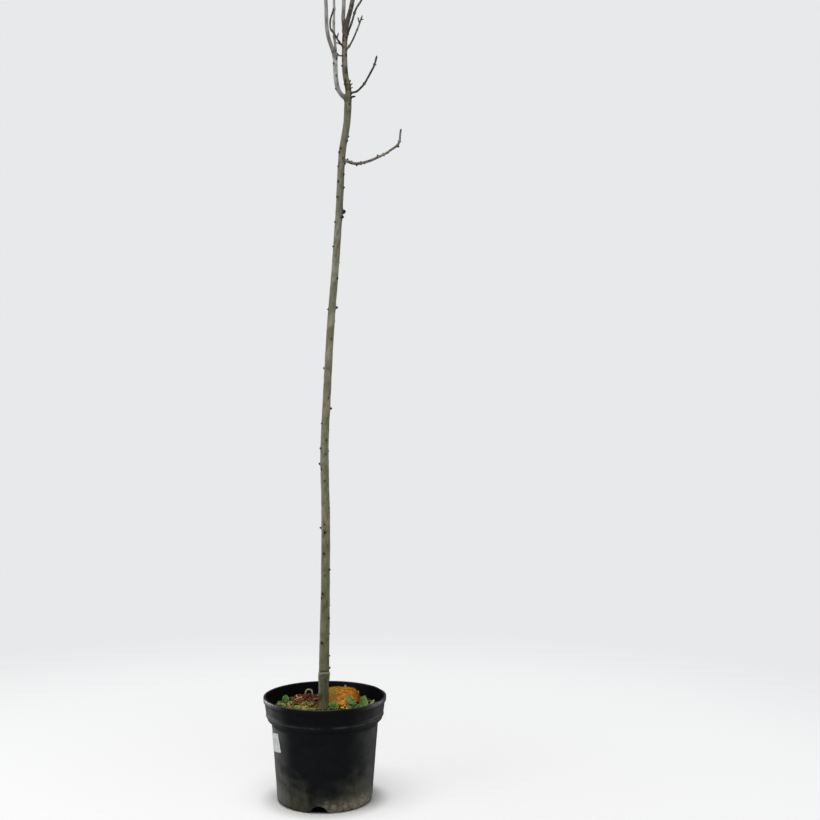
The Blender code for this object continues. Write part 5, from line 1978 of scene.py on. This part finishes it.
def add_floor(stage):
    """A wide round floor of painted board, matt, that fades into the surroundings before it ends."""
    bpy.ops.mesh.primitive_circle_add(vertices=96, radius=FLOOR_RADIUS, fill_type="NGON")
    floor = bpy.context.object
    floor.name = "floor"
    paint = Paint("pale studio floor", 0.85, 0.2)
    node = paint.node
    paint.shader.inputs["Base Color"].default_value = opaque(stage.floor)
    distance = node("VectorMath", paint.solid, operation="LENGTH")
    far = node("between", distance, *FLOOR_FADE, FLOOR_GLOW_NEAR, 1.0)
    # Painted shadow: the glow fades out under and round the pot's foot
    far = node("times", far, node("between", distance, *FLOOR_PAINTED_SHADOW_UNDER_POT))
    strength = node("between", distance, *FLOOR_FADE, FLOOR_GLOW_STRENGTH, 1.0)
    glow = node("Emission", stage.surroundings, strength)
    mix = node("MixShader", far, paint.shader.outputs[0], glow)
    unseen = node("times", node("LightPath", output="Is Glossy Ray"), FLOOR_GLOSS_LOSS)
    dim = node("MixShader", unseen, mix, node("Emission", "000000"))
    paint.tree.links.new(dim, paint.tree.nodes["Material Output"].inputs["Surface"])
    floor.data.materials.append(paint.made)


def add_camera(scene):
    """The photo's own level camera."""
    camera = bpy.data.objects.new("photo_view", bpy.data.cameras.new("photo_view"))
    camera.data.lens = CAMERA_LENS
    camera.data.sensor_width = CAMERA_SENSOR
    camera.data.shift_y = CAMERA_RISE / FRAME_WIDTH
    camera.location = CAMERA_PLACE
    camera.rotation_euler = (math.pi / 2.0, 0.0, 0.0)
    scene.collection.objects.link(camera)
    scene.camera = camera


def add_lamp(lamp, power):
    """A broad lamp that faces its target and that the camera doesn't see."""
    data = bpy.data.lights.new(lamp.name, "AREA")
    data.shape = "RECTANGLE"
    data.size = lamp.width
    data.size_y = lamp.height
    data.energy = power
    made = bpy.data.objects.new(lamp.name, data)
    made.location = lamp.place
    made.visible_camera = False
    if lamp.switched_off:
        setattr(made, lamp.switched_off, False)
    away = np.array(lamp.place) - np.array(lamp.target)
    tilt = math.atan2(math.hypot(away[0], away[1]), away[2])
    made.rotation_euler = (tilt, 0.0, math.atan2(away[0], -away[1]))
    bpy.context.scene.collection.objects.link(made)


class ASH_PT_panel(Panel):
    """Lists the plant's settings and the operators that make its pieces"""

    bl_label = "Potted ash"
    bl_space_type = "VIEW_3D"
    bl_region_type = "UI"
    bl_category = "Ash"

    def draw(self, context):
        scene = context.scene
        for settings in (scene.ash_pot, scene.ash_litter, scene.ash_bark, scene.ash_stage):
            box = self.layout.box()
            for name in settings.bl_rna.properties.keys():
                if name not in ("rna_type", "name"):
                    box.prop(settings, name)
        for operator in OPERATORS:
            self.layout.operator(operator.bl_idname)


SETTINGS = {
    "ash_pot": AshPotSettings,
    "ash_litter": AshLitterSettings,
    "ash_bark": AshBarkSettings,
    "ash_stage": AshStageSettings,
}
OPERATORS = (
    ASH_OT_stage,
    ASH_OT_pot,
    ASH_OT_label,
    ASH_OT_soil,
    ASH_OT_litter,
    ASH_OT_leaves,
    ASH_OT_trunk,
    ASH_OT_boughs,
    ASH_OT_knobs,
    ASH_OT_twigs,
)


def register():
    """Makes the settings, operators and panel known to Blender."""
    for name, settings in SETTINGS.items():
        bpy.utils.register_class(settings)
        setattr(bpy.types.Scene, name, PointerProperty(type=settings))
    for each in (*OPERATORS, ASH_PT_panel):
        bpy.utils.register_class(each)


def unregister():
    """Takes them away again."""
    for each in (ASH_PT_panel, *reversed(OPERATORS)):
        bpy.utils.unregister_class(each)
    for name, settings in SETTINGS.items():
        delattr(bpy.types.Scene, name)
        bpy.utils.unregister_class(settings)


def main():
    """Makes every piece."""
    register()
    for operator in OPERATORS:
        family, name = operator.bl_idname.split(".")
        getattr(getattr(bpy.ops, family), name)()


if __name__ == "__main__":
    main()
